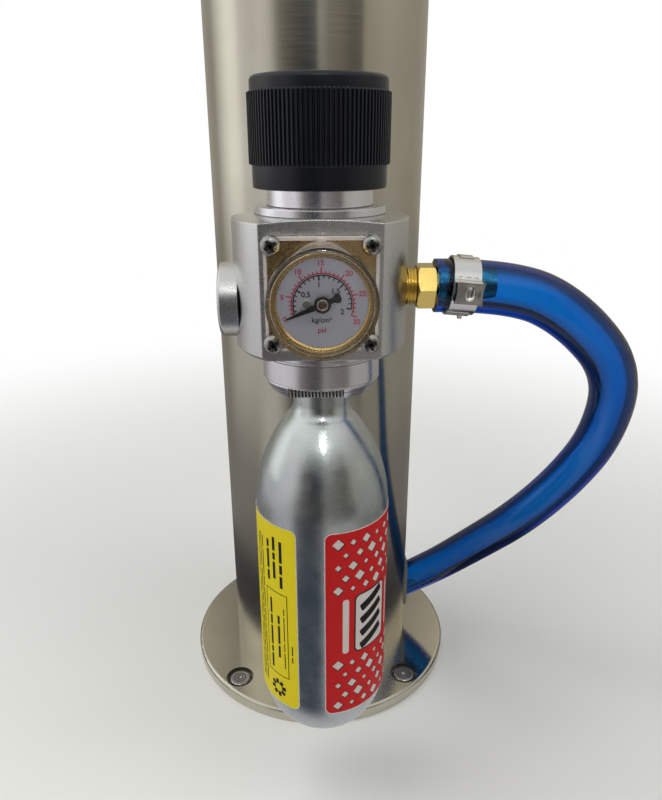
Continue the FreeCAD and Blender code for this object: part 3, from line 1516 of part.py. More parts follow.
def make_faucet_body():
    """Valve body: threaded end, barrel with the ball boss on top, and the spout."""
    barrel_start = FAUCET_BODY_START + S.faucet_collar_length
    nose_start = S.pivot_distance
    chamber_start = FAUCET_BODY_START + S.faucet_seat_length
    drop_at = (0, TAP_Y + S.spout_start + S.spout_bend, TAP_Z - S.spout_bend - S.spout_drop)
    outside = [
        tap_rod("FaucetThread", S.coupling_thread_radius, FAUCET_START, S.faucet_thread_length),
        tap_rod("FaucetCollar", S.faucet_collar_radius, FAUCET_BODY_START, S.faucet_collar_length),
        tap_rod("FaucetBarrel", S.faucet_barrel_radius, barrel_start, nose_start - barrel_start),
        tap_rod("FaucetNose", S.spout_radius, nose_start, S.spout_start - nose_start),
        post("FaucetBoss", S.boss_radius, -S.boss_depth, S.boss_depth + BOSS_SHOULDER),
        post("FaucetBossThread", S.boss_thread_radius, 0, BOSS_TOP),
        spout_bend("SpoutBend", S.spout_radius),
        solid("Cone", "SpoutDrop", drop_at, Radius1=S.spout_tip_radius, Radius2=S.spout_radius,
              Height=S.spout_drop),
    ]
    throat_base = S.pivot_rise - S.pin_throat_drop
    inside = [
        tap_rod("FaucetBack", S.faucet_back_radius, FAUCET_START, S.faucet_thread_length),
        tap_rod("FaucetSeat", S.faucet_seat_radius, FAUCET_BODY_START, S.faucet_seat_length),
        tap_rod("FaucetBore", S.faucet_bore_radius, chamber_start, S.faucet_bore_end - chamber_start),
        tap_rod("FaucetNoseBore", S.spout_bore_radius, nose_start, S.spout_start - nose_start),
        solid("Cone", "FaucetThroat", pivot_at(throat_base), Radius1=S.pin_throat_radius,
              Radius2=S.ball_seat_radius, Height=BALL_SEAT - throat_base),
        post("FaucetBallBore", S.ball_radius + S.ball_clearance, BALL_SEAT, BOSS_TOP - BALL_SEAT),
        spout_bend("SpoutBendBore", S.spout_bore_radius),
        rod("SpoutDropBore", S.spout_bore_radius, S.spout_drop, drop_at),
    ]
    whole = minus("FaucetBody", joined("FaucetOutside", outside), joined("FaucetInside", inside))
    keep(whole, "faucet_body")


def pivot_at(height):
    return (0, TAP_Y + S.pivot_distance, TAP_Z + height)


def make_faucet_bonnet():
    """Threaded ring that holds the friction washer on the ball."""
    ceiling = BALL_WASHER_TOP + S.slip_fit - BOSS_SHOULDER
    top = BONNET_TOP - BOSS_SHOULDER
    turned("FaucetBonnet", "faucet_bonnet", [
        (S.boss_thread_radius + S.slip_fit, 0),
        (S.bonnet_radius, 0),
        (S.bonnet_radius, top - S.bonnet_edge),
        (S.bonnet_radius - S.bonnet_edge, top),
        (S.bonnet_opening, top),
        (S.ball_washer_narrow + S.slip_fit, ceiling),
        (S.boss_thread_radius + S.slip_fit, ceiling),
    ], at=pivot_at(BOSS_SHOULDER))


def make_ball_washer():
    outer = S.ball_radius + S.ball_clearance - S.slip_fit
    turned("BallWasher", "ball_washer", [
        (S.ball_washer_wide, 0),
        (outer, 0),
        (outer, S.ball_washer_height),
        (S.ball_washer_narrow, S.ball_washer_height),
    ], at=pivot_at(BALL_WASHER_BASE))


def make_lever():
    """Ball lever, drawn about the ball's centre: pin, ball, waist, stem and handle thread."""
    pin_meet = ball_height(S.lever_pin_radius)
    waist_meet = ball_height(S.lever_waist_radius)
    thread_top = S.lever_rise + S.lever_thread_length
    turned("Lever", "tap_lever", [
        (0, -S.lever_pin_drop),
        (S.lever_pin_radius, -S.lever_pin_drop),
        (S.lever_pin_radius, -pin_meet, S.ball_radius),
        (S.lever_waist_radius, waist_meet),
        (S.lever_waist_radius, S.lever_waist_rise),
        (S.lever_radius, S.lever_waist_rise),
        (S.lever_radius, thread_top),
        (0, thread_top),
    ], at=pivot_at(S.pivot_rise))


def ball_height(radius):
    """Height above the ball's centre at which its surface has the given radius."""
    value = math.sqrt(S.ball_radius.value ** 2 - radius.value ** 2)
    return Size(value, f"sqrt({S.ball_radius.text}^2 - {radius.text}^2)")


def make_handle():
    turned("Ferrule", "handle_ferrule", [
        (S.lever_radius + S.slip_fit, 0),
        (S.ferrule_radius, 0),
        (S.ferrule_radius, S.ferrule_height),
        (S.lever_radius + S.slip_fit, S.ferrule_height),
    ], at=pivot_at(LEVER_TOP - S.ferrule_height))
    thread = S.lever_thread_length + S.slip_fit
    crown = S.handle_height - S.handle_crown
    turned("Handle", "tap_handle", [
        (S.lever_radius + S.slip_fit, 0),
        (S.handle_base_radius, 0),
        (S.handle_waist_radius, S.handle_waist_rise),
        (S.handle_top_radius, S.handle_shoulder_rise),
        (S.handle_top_radius, crown, S.handle_crown),
        (S.handle_top_radius - S.handle_crown, S.handle_height),
        (0, S.handle_height),
        (0, thread),
        (S.lever_radius + S.slip_fit, thread),
    ], at=pivot_at(LEVER_TOP))


def make_plunger():
    """Valve rod behind the seat. The lever's pin sits between its two discs."""
    seat = FAUCET_BODY_START - S.slip_fit
    head = seat - S.plunger_seal_height
    groove_start = S.pivot_distance - S.plunger_groove / 2
    groove_end = S.pivot_distance + S.plunger_groove / 2
    turned("Plunger", "tap_plunger", [
        (0, head - S.plunger_head_height),
        (S.plunger_head_radius, head - S.plunger_head_height),
        (S.plunger_head_radius, head),
        (S.plunger_radius, head),
        (S.plunger_radius, groove_start - S.plunger_disc_height),
        (S.plunger_disc_radius, groove_start - S.plunger_disc_height),
        (S.plunger_disc_radius, groove_start),
        (S.plunger_radius, groove_start),
        (S.plunger_radius, groove_end),
        (S.plunger_disc_radius, groove_end),
        (S.plunger_disc_radius, groove_end + S.plunger_disc_height),
        (0, groove_end + S.plunger_disc_height),
    ], at=tap_at(), turn=TO_TAP)
    turned("PlungerSeal", "plunger_seal", [
        (S.plunger_radius + S.slip_fit, head),
        (S.plunger_seal_radius, head),
        (S.plunger_seal_radius, seat),
        (S.plunger_radius + S.slip_fit, seat),
    ], at=tap_at(), turn=TO_TAP)


def make_all():
    make_flange()
    make_flange_screws()
    make_column()
    make_cap()
    make_grommet()
    make_standoff()
    make_mount_washer()
    make_mount_bolt()
    make_regulator_body()
    make_bonnet_neck()
    make_knob()
    make_adjusting_screw()
    make_spring_pack()
    make_valve()
    make_socket()
    make_piercing_pin()
    make_socket_seal()
    make_cartridge()
    make_label("RedLabel", "label_red", S.red_label_angle, RED_LABEL_TURN)
    make_label("YellowLabel", "label_yellow", S.yellow_label_angle, YELLOW_LABEL_TURN)
    make_button()
    make_gauge_case()
    make_gauge_window()
    make_gauge_screws()
    make_dial()
    make_pointer()
    make_arbor()
    make_movement()
    make_outlet()
    make_clamp()
    make_hose()
    make_shank()
    make_shank_collar()
    make_shank_washer()
    make_shank_nut()
    make_tail()
    make_coupling_nut()
    make_gasket()
    make_faucet_body()
    make_faucet_bonnet()
    make_ball_washer()
    make_lever()
    make_handle()
    make_plunger()
    doc.recompute()


def check_and_export():
    """Stop at a failed object or an empty or invalid shape, then write one STEP file for each node."""
    for thing in doc.Objects:
        if "Invalid" in thing.State or "Error" in thing.State:
            raise RuntimeError(f"{thing.Name} failed: {thing.State}")
    for node in nodes:
        if node.Shape.isNull() or not node.Shape.isValid() or not node.Shape.Solids:
            raise RuntimeError(f"{node.Label} has no valid solid")
    os.makedirs("parts", exist_ok=True)
    for node in nodes:
        node.Shape.exportStep(f"parts/{node.Label}.step")
        print(node.Label, len(node.Shape.Solids), round(node.Shape.Volume, 1))


make_all()
check_and_export()
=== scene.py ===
import math

import bmesh
import bpy
from mathutils import Matrix, Vector


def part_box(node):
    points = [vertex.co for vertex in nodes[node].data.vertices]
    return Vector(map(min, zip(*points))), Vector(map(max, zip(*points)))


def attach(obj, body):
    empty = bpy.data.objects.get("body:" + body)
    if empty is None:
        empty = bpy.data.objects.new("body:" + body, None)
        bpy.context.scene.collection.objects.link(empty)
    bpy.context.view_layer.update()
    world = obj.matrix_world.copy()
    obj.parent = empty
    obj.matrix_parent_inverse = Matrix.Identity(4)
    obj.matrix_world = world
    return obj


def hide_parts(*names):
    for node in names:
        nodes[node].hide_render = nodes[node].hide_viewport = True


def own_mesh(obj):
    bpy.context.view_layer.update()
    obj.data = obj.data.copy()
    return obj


# Draft tower with a cartridge regulator. Sizes are in millimetres and turned to metres with MM.
MM = 0.001

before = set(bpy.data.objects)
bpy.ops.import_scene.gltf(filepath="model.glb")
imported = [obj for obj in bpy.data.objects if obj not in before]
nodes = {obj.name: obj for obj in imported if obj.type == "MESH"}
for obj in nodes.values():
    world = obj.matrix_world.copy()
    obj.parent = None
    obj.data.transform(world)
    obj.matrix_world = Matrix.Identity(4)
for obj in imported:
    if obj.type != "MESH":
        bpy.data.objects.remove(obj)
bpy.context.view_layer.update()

# ------------------------------------------------------------------ shared places, as on the solids
REGULATOR_Y = -79.3
REGULATOR_Z = 164.0
FLAT_Y = -96.8
PORT_Z = 179.6
GAUGE_Z = 181.45
KNOB_BASE = 205.4
KNOB_HEIGHT = 26.1
DIAL_FACE = 11.0
LABEL_BASE = 49.2
LABEL_HEIGHT = 65.0
LABEL_INNER = 20.05
LABEL_THICKNESS = 0.15
HOSE_OUTER = 14.5
HOSE_BORE = 7.94
HOSE_ROUTE = [
    (31.0, -79.3, 179.6),
    (51.3, -79.3, 179.6),
    (70.0, -77.2, 171.7),
    (91.2, -68.6, 150.8),
    (97.2, -50.2, 121.0),
    (89.8, -41.0, 98.8),
    (77.0, -34.2, 79.6),
    (66.5, -18.8, 59.4),
    (50.0, 1.0, 32.2),
    (32.2, 7.0, 18.8),
]

TO_FRONT = Matrix.Rotation(math.radians(90), 4, "X")
TO_RIGHT = Matrix.Rotation(math.radians(90), 4, "Y")
UPRIGHT = Matrix.Identity(4)


def at(x, y, z):
    return Matrix.Translation((x * MM, y * MM, z * MM))


def spun(degrees, axis="Z"):
    return Matrix.Rotation(math.radians(degrees), 4, axis)


GAUGE = at(0, FLAT_Y, GAUGE_Z) @ TO_FRONT
OUTLET = at(0, REGULATOR_Y, PORT_Z) @ TO_RIGHT
REGULATOR = at(0, REGULATOR_Y, 0)


# ------------------------------------------------------------------ camera
CAMERA_PLACE = (-2.55, -263.9, 217.2)
CAMERA_DOWN, CAMERA_RIGHT, CAMERA_LEAN = 20.94, 1.65, -0.14
CAMERA_FILM, CAMERA_LENS = 36.0, 37.2


def make_camera():
    """Camera above the table, a hand's length in front of the regulator and looking down on it."""
    pitch, yaw, roll = (math.radians(angle) for angle in (CAMERA_DOWN, CAMERA_RIGHT, CAMERA_LEAN))
    level = Vector((math.sin(yaw), math.cos(yaw), 0))
    right = Vector((math.cos(yaw), -math.sin(yaw), 0))
    forward = level * math.cos(pitch) - Vector((0, 0, math.sin(pitch)))
    up = level * math.sin(pitch) + Vector((0, 0, math.cos(pitch)))
    turned_right = right * math.cos(roll) + up * math.sin(roll)
    turned_up = up * math.cos(roll) - right * math.sin(roll)
    axes = Matrix((turned_right, turned_up, -forward)).transposed()
    bpy.ops.object.camera_add()
    camera = bpy.context.active_object
    camera.matrix_world = at(*CAMERA_PLACE) @ axes.to_4x4()
    camera.data.sensor_fit = "HORIZONTAL"
    camera.data.sensor_width = CAMERA_FILM
    camera.data.lens = CAMERA_LENS
    camera.data.clip_start = 0.01
    bpy.context.scene.camera = camera


# ------------------------------------------------------------------ modelling helpers
def clear_selection():
    if bpy.context.mode != "OBJECT":
        bpy.ops.object.mode_set(mode="OBJECT")
    bpy.ops.object.select_all(action="DESELECT")


def choose(*pieces):
    clear_selection()
    for piece in pieces:
        piece.select_set(True)
    bpy.context.view_layer.objects.active = pieces[0]


def fix_place(piece, place=UPRIGHT):
    """Put the piece's place and turn into its mesh."""
    piece.matrix_basis = place @ piece.matrix_basis
    choose(piece)
    bpy.ops.object.transform_apply(location=True, rotation=True, scale=True)
    return piece


def join(*pieces):
    choose(*pieces)
    bpy.ops.object.join()
    return bpy.context.active_object


def copy_of(piece, place):
    """Copy with its own mesh, moved by the given place."""
    choose(piece)
    bpy.ops.object.duplicate(linked=False)
    return fix_place(bpy.context.active_object, place)


def edit(piece):
    choose(piece)
    bpy.ops.object.mode_set(mode="EDIT")


def leave_edit():
    bpy.ops.object.mode_set(mode="OBJECT")


def pick(piece, test, what="verts"):
    """Select the points, edges or faces that pass a test. The piece is in edit mode."""
    mesh = bmesh.from_edit_mesh(piece.data)
    mesh.select_mode = {what[:-1].upper()}
    for part in list(mesh.verts) + list(mesh.edges) + list(mesh.faces):
        part.select_set(False)
    for part in getattr(mesh, what):
        if test(part):
            part.select_set(True)
    mesh.select_flush_mode()
    bmesh.update_edit_mesh(piece.data)


def outward(piece, distance=0.00001):
    """Merge doubled points and turn every face outwards."""
    edit(piece)
    bpy.ops.mesh.select_all(action="SELECT")
    bpy.ops.mesh.remove_doubles(threshold=distance)
    bpy.ops.mesh.normals_make_consistent(inside=False)
    leave_edit()
    return piece


def modify(piece, kind, **settings):
    """Apply a modifier with its settings."""
    choose(piece)
    modifier = piece.modifiers.new(kind.title(), kind)
    for name, setting in settings.items():
        setattr(modifier, name, setting)
    bpy.ops.object.modifier_apply(modifier=modifier.name)
    return piece


def carve(piece, tool, operation="DIFFERENCE"):
    """Cut a piece with a tool, or join or trim it by the tool, and clear the tool away."""
    modify(piece, "BOOLEAN", object=tool, operation=operation, solver="EXACT")
    bpy.data.objects.remove(tool)
    return piece


def bevel(piece, width, segments=3, angle=30):
    return modify(piece, "BEVEL", width=width * MM, segments=segments, limit_method="ANGLE",
                  angle_limit=math.radians(angle), harden_normals=False)


def smooth(piece, angle=35):
    choose(piece)
    bpy.ops.object.shade_smooth_by_angle(angle=math.radians(angle))
    return piece


def level_with(part, height):
    """Whether a point, or all points of an edge, lie at a height in metres."""
    return all(abs(vertex.co.z - height) < 1e-7 for vertex in getattr(part, "verts", [part]))


def turned(rings, segments=96, start="cap", end="cap"):
    """Turn a piece ring by ring: each ring is a radius and a height on its own Z axis. An end is
    capped or left open."""
    clear_selection()
    radius, height = rings[0]
    fill = "NGON" if start == "cap" else "NOTHING"
    bpy.ops.mesh.primitive_circle_add(vertices=segments, radius=radius * MM, fill_type=fill)
    piece = bpy.context.active_object
    bpy.ops.object.mode_set(mode="EDIT")
    bpy.ops.transform.translate(value=(0, 0, height * MM))
    for (old_radius, old_height), (new_radius, new_height) in zip(rings, rings[1:]):
        rise = (new_height - old_height) * MM
        bpy.ops.mesh.extrude_region_move(TRANSFORM_OT_translate={"value": (0, 0, rise)})
        share = new_radius / old_radius
        bpy.ops.transform.resize(value=(share, share, 1), center_override=(0, 0, new_height * MM))
    if end == "cap":
        last = rings[-1][1] * MM
        pick(piece, lambda edge: edge.is_boundary and level_with(edge, last), "edges")
        bpy.ops.mesh.edge_face_add()
    leave_edit()
    return outward(piece)


def turned_ring(rings, segments):
    """Turn a hollow ring and close its wall between the first and the last of the rings."""
    piece = turned(rings, segments, start="open", end="open")
    edit(piece)
    pick(piece, lambda edge: edge.is_boundary, "edges")
    bpy.ops.mesh.bridge_edge_loops()
    leave_edit()
    return outward(piece)


def rounded_rings(radius, top, edge, steps=5):
    """Rings of a rounded rim that ends a turned piece at the given height."""
    rings = []
    for step in range(steps + 1):
        angle = math.pi / 2 * step / steps
        rings.append((radius - edge + edge * math.cos(angle), top - edge + edge * math.sin(angle)))
    return rings


def block(size, centre):
    """Box of the given sizes about a centre."""
    clear_selection()
    bpy.ops.mesh.primitive_cube_add(size=1)
    piece = bpy.context.active_object
    piece.scale = [side * MM for side in size]
    piece.location = [part * MM for part in centre]
    return fix_place(piece)


def round_corners(piece, radius, segments=6):
    """Round the edges that stand along the piece's own Z axis."""
    edit(piece)
    pick(piece, lambda edge: abs((edge.verts[0].co - edge.verts[1].co).normalized().z) > 0.99, "edges")
    bpy.ops.mesh.bevel(offset=radius * MM, segments=segments)
    leave_edit()
    return piece


def finish_piece(piece, name, body, material, place=UPRIGHT, replaces=()):
    """Put a finished piece in its place, give it its finish and let it ride on its body."""
    fix_place(piece, place)
    piece.name = piece.data.name = name
    piece.data.materials.clear()
    piece.data.materials.append(material)
    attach(piece, body)
    if replaces:
        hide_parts(*replaces)
    return piece


# ------------------------------------------------------------------ materials
def colour(code):
    """Linear colour of an sRGB hex value."""
    parts = [int(code[start:start + 2], 16) / 255 for start in (1, 3, 5)]
    return [part / 12.92 if part <= 0.04045 else ((part + 0.055) / 1.055) ** 2.4 for part in parts] + [1]


def add(tree, kind, links=(), **settings):
    """Add a node. Settings are its properties and sockets; links pair a socket with a source."""
    made = tree.nodes.new(f"ShaderNode{kind}")
    for name, setting in settings.items():
        if hasattr(made, name):
            setattr(made, name, setting)
        else:
            made.inputs[name.replace("_", " ")].default_value = setting
    for socket, source in dict(links).items():
        tree.links.new(source, made.inputs[socket])
    return made


def surface(name, base, metallic=0.0, roughness=0.5, **settings):
    """Start a material: its tree, its shader and its object coordinates."""
    material = bpy.data.materials.new(name)
    material.use_nodes = True
    material.diffuse_color = colour(base)
    tree = material.node_tree
    shader = tree.nodes["Principled BSDF"]
    shader.inputs["Base Color"].default_value = colour(base)
    shader.inputs["Metallic"].default_value = metallic
    shader.inputs["Roughness"].default_value = roughness
    for socket, value in settings.items():
        shader.inputs[socket.replace("_", " ")].default_value = value
    place = add(tree, "TexCoord").outputs["Object"]
    return material, tree, shader, place


def vary(tree, shader, place, scale, low, high, socket="Roughness", detail=4.0, stretch=(1, 1, 1)):
    """Let a socket wander between two values with noise. Scale counts features per metre."""
    mapping = add(tree, "Mapping", {"Vector": place}, Scale=stretch)
    noise = add(tree, "TexNoise", {"Vector": mapping.outputs[0]}, Scale=scale, Detail=detail)
    spread = add(tree, "MapRange", {"Value": noise.outputs["Fac"]}, From_Min=0.3, From_Max=0.7,
                 To_Min=low, To_Max=high)
    tree.links.new(spread.outputs[0], shader.inputs[socket])
    return noise


def tint(tree, shader, noise, first, second):
    """Blend the base colour between two tones with a noise."""
    spread = add(tree, "MapRange", {"Value": noise.outputs["Fac"]}, From_Min=0.3, From_Max=0.7)
    blend = add(tree, "Mix", {"Factor": spread.outputs[0]}, data_type="RGBA")
    blend.inputs[6].default_value = colour(first)
    blend.inputs[7].default_value = colour(second)
    tree.links.new(blend.outputs[2], shader.inputs["Base Color"])


def relief(tree, shader, height, distance, strength=1.0, edge=None):
    """Raise the surface by a height pattern. An edge in millimetres also rounds sharp corners."""
    raised = add(tree, "Bump", {"Height": height}, Distance=distance * MM, Strength=strength)
    if edge:
        rounded = add(tree, "Bevel", samples=4, Radius=edge * MM)
        tree.links.new(rounded.outputs[0], raised.inputs["Normal"])
    tree.links.new(raised.outputs[0], shader.inputs["Normal"])


def painted_edge_highlight(tree, shader, radius, plain, highlight_tone):
    """Painted highlight: lighten the base colour along the sharp edges, where they would catch the light.
    Radius is in mm.
    """
    rounded = add(tree, "Bevel", samples=6, Radius=radius * MM)
    flat = add(tree, "NewGeometry")
    facing = add(tree, "VectorMath", {0: rounded.outputs[0], 1: flat.outputs["Normal"]},
                 operation="DOT_PRODUCT")
    edge_share = add(tree, "MapRange", {"Value": facing.outputs["Value"]}, From_Min=0.99, From_Max=0.93)
    blend = add(tree, "Mix", {"Factor": edge_share.outputs[0]}, data_type="RGBA")
    blend.inputs[6].default_value = colour(plain)
    blend.inputs[7].default_value = colour(highlight_tone)
    tree.links.new(blend.outputs[2], shader.inputs["Base Color"])


def brushed_stainless(name, roughness, stretch):
    """304 stainless with a satin brushing round the axis: reflections stay crisp round the tube and
    smear along it. The lines are about 0.1 mm on the real thing and drawn at 0.4 mm."""
    material, tree, shader, place = surface(name, "#c4c0b0", 1.0, roughness, Anisotropic=0.75,
                                            Anisotropic_Rotation=0.25)
    grain = vary(tree, shader, place, 2500, roughness - 0.03, roughness + 0.05, stretch=stretch)
    cloud = add(tree, "TexNoise", {"Vector": place}, Scale=45.0, Detail=3.0)
    tint(tree, shader, cloud, "#c0bbab", "#c8c4b5")
    relief(tree, shader, grain.outputs["Fac"], 0.004, 0.6)
    return material


def turned_steel(name, base="#d6d5d2", roughness=0.17):
    """Bright stainless or zinc-plated steel, as rolled or turned: fine 0.5 mm streaks in the gloss and
    softly broken edges."""
    material, tree, shader, place = surface(name, base, 1.0, roughness)
    grain = vary(tree, shader, place, 1800, roughness - 0.05, roughness + 0.08)
    relief(tree, shader, grain.outputs["Fac"], 0.004, 0.5, edge=0.15)
    return material


def chrome():
    """Polished chrome on brass: a mirror with faint haze in patches of a finger's width."""
    material, tree, shader, place = surface("polished_chrome", "#d5d6d8", 1.0, 0.07)
    haze = vary(tree, shader, place, 60, 0.05, 0.12)
    relief(tree, shader, haze.outputs["Fac"], 0.002, 0.3, edge=0.2)
    return material


def blasted_aluminium(name, base, roughness, grit):
    """Aluminium, bead-blasted and clear anodised: soft bands with a fine sparkle, and a painted highlight
    along its sharp edges. The grit is 0.1 mm on the real thing and drawn at 0.3 mm so that it shows."""
    material, tree, shader, place = surface(name, base, 1.0, roughness)
    dots = vary(tree, shader, place, 3300, roughness - 0.06, roughness + 0.08, detail=2.0)
    relief(tree, shader, dots.outputs["Fac"], grit, 1.0, edge=0.45)
    painted_edge_highlight(tree, shader, 0.3, base, "#fffffc")
    return material


def zinc_plated_steel():
    """Zinc-plated deep-drawn steel: clear bright zinc over faint orange peel and draw marks."""
    material, tree, shader, place = surface("zinc_plated_drawn_steel", "#c6cdcb", 1.0, 0.25)
    cloud = vary(tree, shader, place, 160, 0.2, 0.32, detail=6.0)
    tint(tree, shader, cloud, "#bac1c0", "#cdd3d1")
    peel = add(tree, "TexNoise", {"Vector": place}, Scale=900.0, Detail=3.0, Distortion=0.6)
    dimples = add(tree, "TexNoise", {"Vector": place}, Scale=2800.0, Detail=2.0)
    height = add(tree, "Math", {0: peel.outputs["Fac"], 1: dimples.outputs["Fac"]}, operation="ADD")
    relief(tree, shader, height.outputs[0], 0.018, 0.8)
    return material


def machined_brass(name="turned_brass", base="#e6ca76", roughness=0.17, grain=0.004):
    """Free-cutting brass, turned bright: a warm gloss with fine tool marks about 0.4 mm apart."""
    material, tree, shader, place = surface(name, base, 1.0, roughness)
    rings = vary(tree, shader, place, 2600, roughness - 0.04, roughness + 0.1, detail=2.0)
    relief(tree, shader, rings.outputs["Fac"], grain, 0.5, edge=0.12)
    return material


def moulded_black():
    """Black glass-filled nylon, moulded: satin, with a faint 0.5 mm eggshell grain and a painted grey
    highlight along its edges."""
    base = "#0d1119"
    material, tree, shader, place = surface("moulded_black_nylon", base, 0.0, 0.32,
                                            Specular_IOR_Level=0.4)
    grain = vary(tree, shader, place, 2200, 0.28, 0.4, detail=2.0)
    relief(tree, shader, grain.outputs["Fac"], 0.012, 0.5)
    painted_edge_highlight(tree, shader, 0.12, base, "#3d4149")
    return material


def plain_plastic(name, base, roughness):
    """Moulded plastic, rubber, lacquer or ink, or painted shade: one colour, its gloss uneven in patches of
    1.5 mm.
    """
    material, tree, shader, place = surface(name, base, 0.0, roughness)
    vary(tree, shader, place, 700, roughness - 0.05, roughness + 0.07)
    return material


def see_through(tree, shader, shadow):
    """Let lamp light through with a tint instead of casting a solid shadow. Gives the output node."""
    path = add(tree, "LightPath")
    clear = add(tree, "BsdfTransparent", Color=colour(shadow))
    mix = add(tree, "MixShader", {0: path.outputs["Is Shadow Ray"], 1: shader.outputs[0],
                                  2: clear.outputs[0]})
    output = next(node for node in tree.nodes if node.type == "OUTPUT_MATERIAL")
    tree.links.new(mix.outputs[0], output.inputs["Surface"])
    return output


def clear_polycarbonate():
    """Clear moulded polycarbonate: glossy faces, all but colourless."""
    material, tree, shader, place = surface("clear_polycarbonate", "#f6f6f2", 0.0, 0.03,
                                            Transmission_Weight=1.0, IOR=1.5)
    vary(tree, shader, place, 90, 0.02, 0.05)
    see_through(tree, shader, "#f2f2ec")
    return material


def cover_edge_highlight():
    """Painted highlight along the moulded edge of the clear cover: a pale, partly clear line."""
    material, tree, shader, place = surface("painted_highlight_cover_edge", "#fbf4f0", 0.0, 0.4,
                                            Transmission_Weight=0.4, IOR=1.5)
    vary(tree, shader, place, 300, 0.3, 0.5)
    see_through(tree, shader, "#c8c2bc")
    return material


def blue_polyurethane():
    """Clear blue polyurethane hose: the longer the way through the wall, the deeper the blue."""
    material, tree, shader, place = surface("clear_blue_polyurethane", "#f2f8ff", 0.0, 0.05,
                                            Transmission_Weight=1.0, IOR=1.38, Specular_IOR_Level=0.12)
    vary(tree, shader, place, 120, 0.04, 0.08)
    output = see_through(tree, shader, "#2f8fd8")
    depth = add(tree, "VolumeAbsorption", Color=colour("#00daf1"), Density=950.0)
    tree.links.new(depth.outputs[0], output.inputs["Volume"])
    return material


def printed_film(name, base, roughness=0.48):
    """Screen-printed vinyl film, satin, with faint handling haze."""
    material, tree, shader, place = surface(name, base, 0.0, roughness, Specular_IOR_Level=0.22)
    haze = vary(tree, shader, place, 400, roughness - 0.08, roughness + 0.1)
    relief(tree, shader, haze.outputs["Fac"], 0.01, 0.3)
    return material


def make_materials():
    return {
        "column": brushed_stainless("brushed_tube_304", 0.2, (0.03, 0.03, 1)),
        "flange": brushed_stainless("polished_flange_304", 0.13, (0.3, 0.3, 1)),
        "steel": turned_steel("bright_stainless"),
        "screw_steel": turned_steel("plain_steel_screws", "#a5a4a0", 0.24),
        "zinc": turned_steel("zinc_plated_fasteners", "#b3b2ac", 0.3),
        "spring": turned_steel("spring_wire", "#8f9092", 0.28),
        "chrome": chrome(),
        "aluminium": blasted_aluminium("blasted_anodised_aluminium", "#dadad9", 0.3, 0.02),
        "turned_aluminium": blasted_aluminium("turned_anodised_aluminium", "#e9e8ec", 0.22, 0.01),
        "cartridge": zinc_plated_steel(),
        "brass": machined_brass(),
        # Paler copy of the brass for the barbs inside the hose: a painted cooler reflection through the blue.
        "brass_painted_cool": machined_brass("brass_painted_cool_for_hose", "#dcd6b0", 0.2),
        # Darker, less glossy copy of the brass for the gauge case and bezel: the darker colour is painted
        # shade on the front of the gauge.
        "shaded_case_brass": machined_brass("case_brass_painted_shade", "#d3b27c", 0.26, 0.0008),
        "screw_ring_shade": plain_plastic("painted_screw_ring_shade", "#4a4640", 0.7),
        "painted_shade": plain_plastic("painted_recess_shade", "#1c1a18", 0.6),
        "line": plain_plastic("shaded_groove", "#6b6764", 0.5),
        "copper": turned_steel("copper_rivet", "#80665a", 0.35),
        "black": moulded_black(),
        "gloss_black": plain_plastic("gloss_black_phenolic", "#0b0b0d", 0.2),
        "nylon": plain_plastic("natural_nylon", "#dedbcf", 0.4),
        "rubber": plain_plastic("black_nitrile_rubber", "#17181a", 0.6),
        "grey_rubber": plain_plastic("grey_silicone_rubber", "#8c8a80", 0.55),
        "clear": clear_polycarbonate(),
        "edge_highlight": cover_edge_highlight(),
        "hose": blue_polyurethane(),
        "dial": plain_plastic("printed_white_dial", "#a7a7b8", 0.4),
        "red_ink": plain_plastic("red_screen_ink", "#b8263f", 0.45),
        "black_ink": plain_plastic("black_screen_ink", "#16171c", 0.45),
        "hand": plain_plastic("black_lacquer", "#0e0e10", 0.35),
        "red_film": printed_film("red_printed_film", "#c1090d"),
        "yellow_film": printed_film("yellow_printed_film", "#ead60a"),
        "backing": printed_film("white_vinyl_backing", "#d8d0cc"),
        "pale_ink": printed_film("pale_film_ink", "#cfc5c0"),
        "dark_ink": printed_film("black_film_ink", "#15130f"),
    }


NODE_FINISH = {
    "column": "tower_column tower_cap",
    "flange": "base_flange",
    "steel": "mount_standoff",
    "screw_steel": "flange_screws",
    "zinc": "mount_bolt mount_washer shank_nut adjusting_screw diaphragm_plate valve_poppet "
            "piercing_pin movement_plate pointer_arbor",
    "spring": "range_spring valve_spring button_spring",
    "chrome": "tap_shank coupling_nut faucet_body faucet_bonnet tap_lever handle_ferrule",
    "aluminium": "regulator_body purge_button",
    "turned_aluminium": "bonnet_neck cartridge_socket",
    "cartridge": "gas_cartridge",
    "shaded_case_brass": "gauge_case",
    "brass": "spring_seat tail_piece tail_nut tap_plunger sector_gear bourdon_tube",
    "black": "shank_collar",
    "gloss_black": "tap_handle",
    "nylon": "ball_washer shank_washer",
    "grey_rubber": "hose_grommet",
    "rubber": "diaphragm socket_seal faucet_gasket tail_washer plunger_seal",
    "dial": "gauge_dial",
}


def dress_nodes(finish):
    for name, listed in NODE_FINISH.items():
        for node in listed.split():
            nodes[node].data.materials.clear()
            nodes[node].data.materials.append(finish[name])


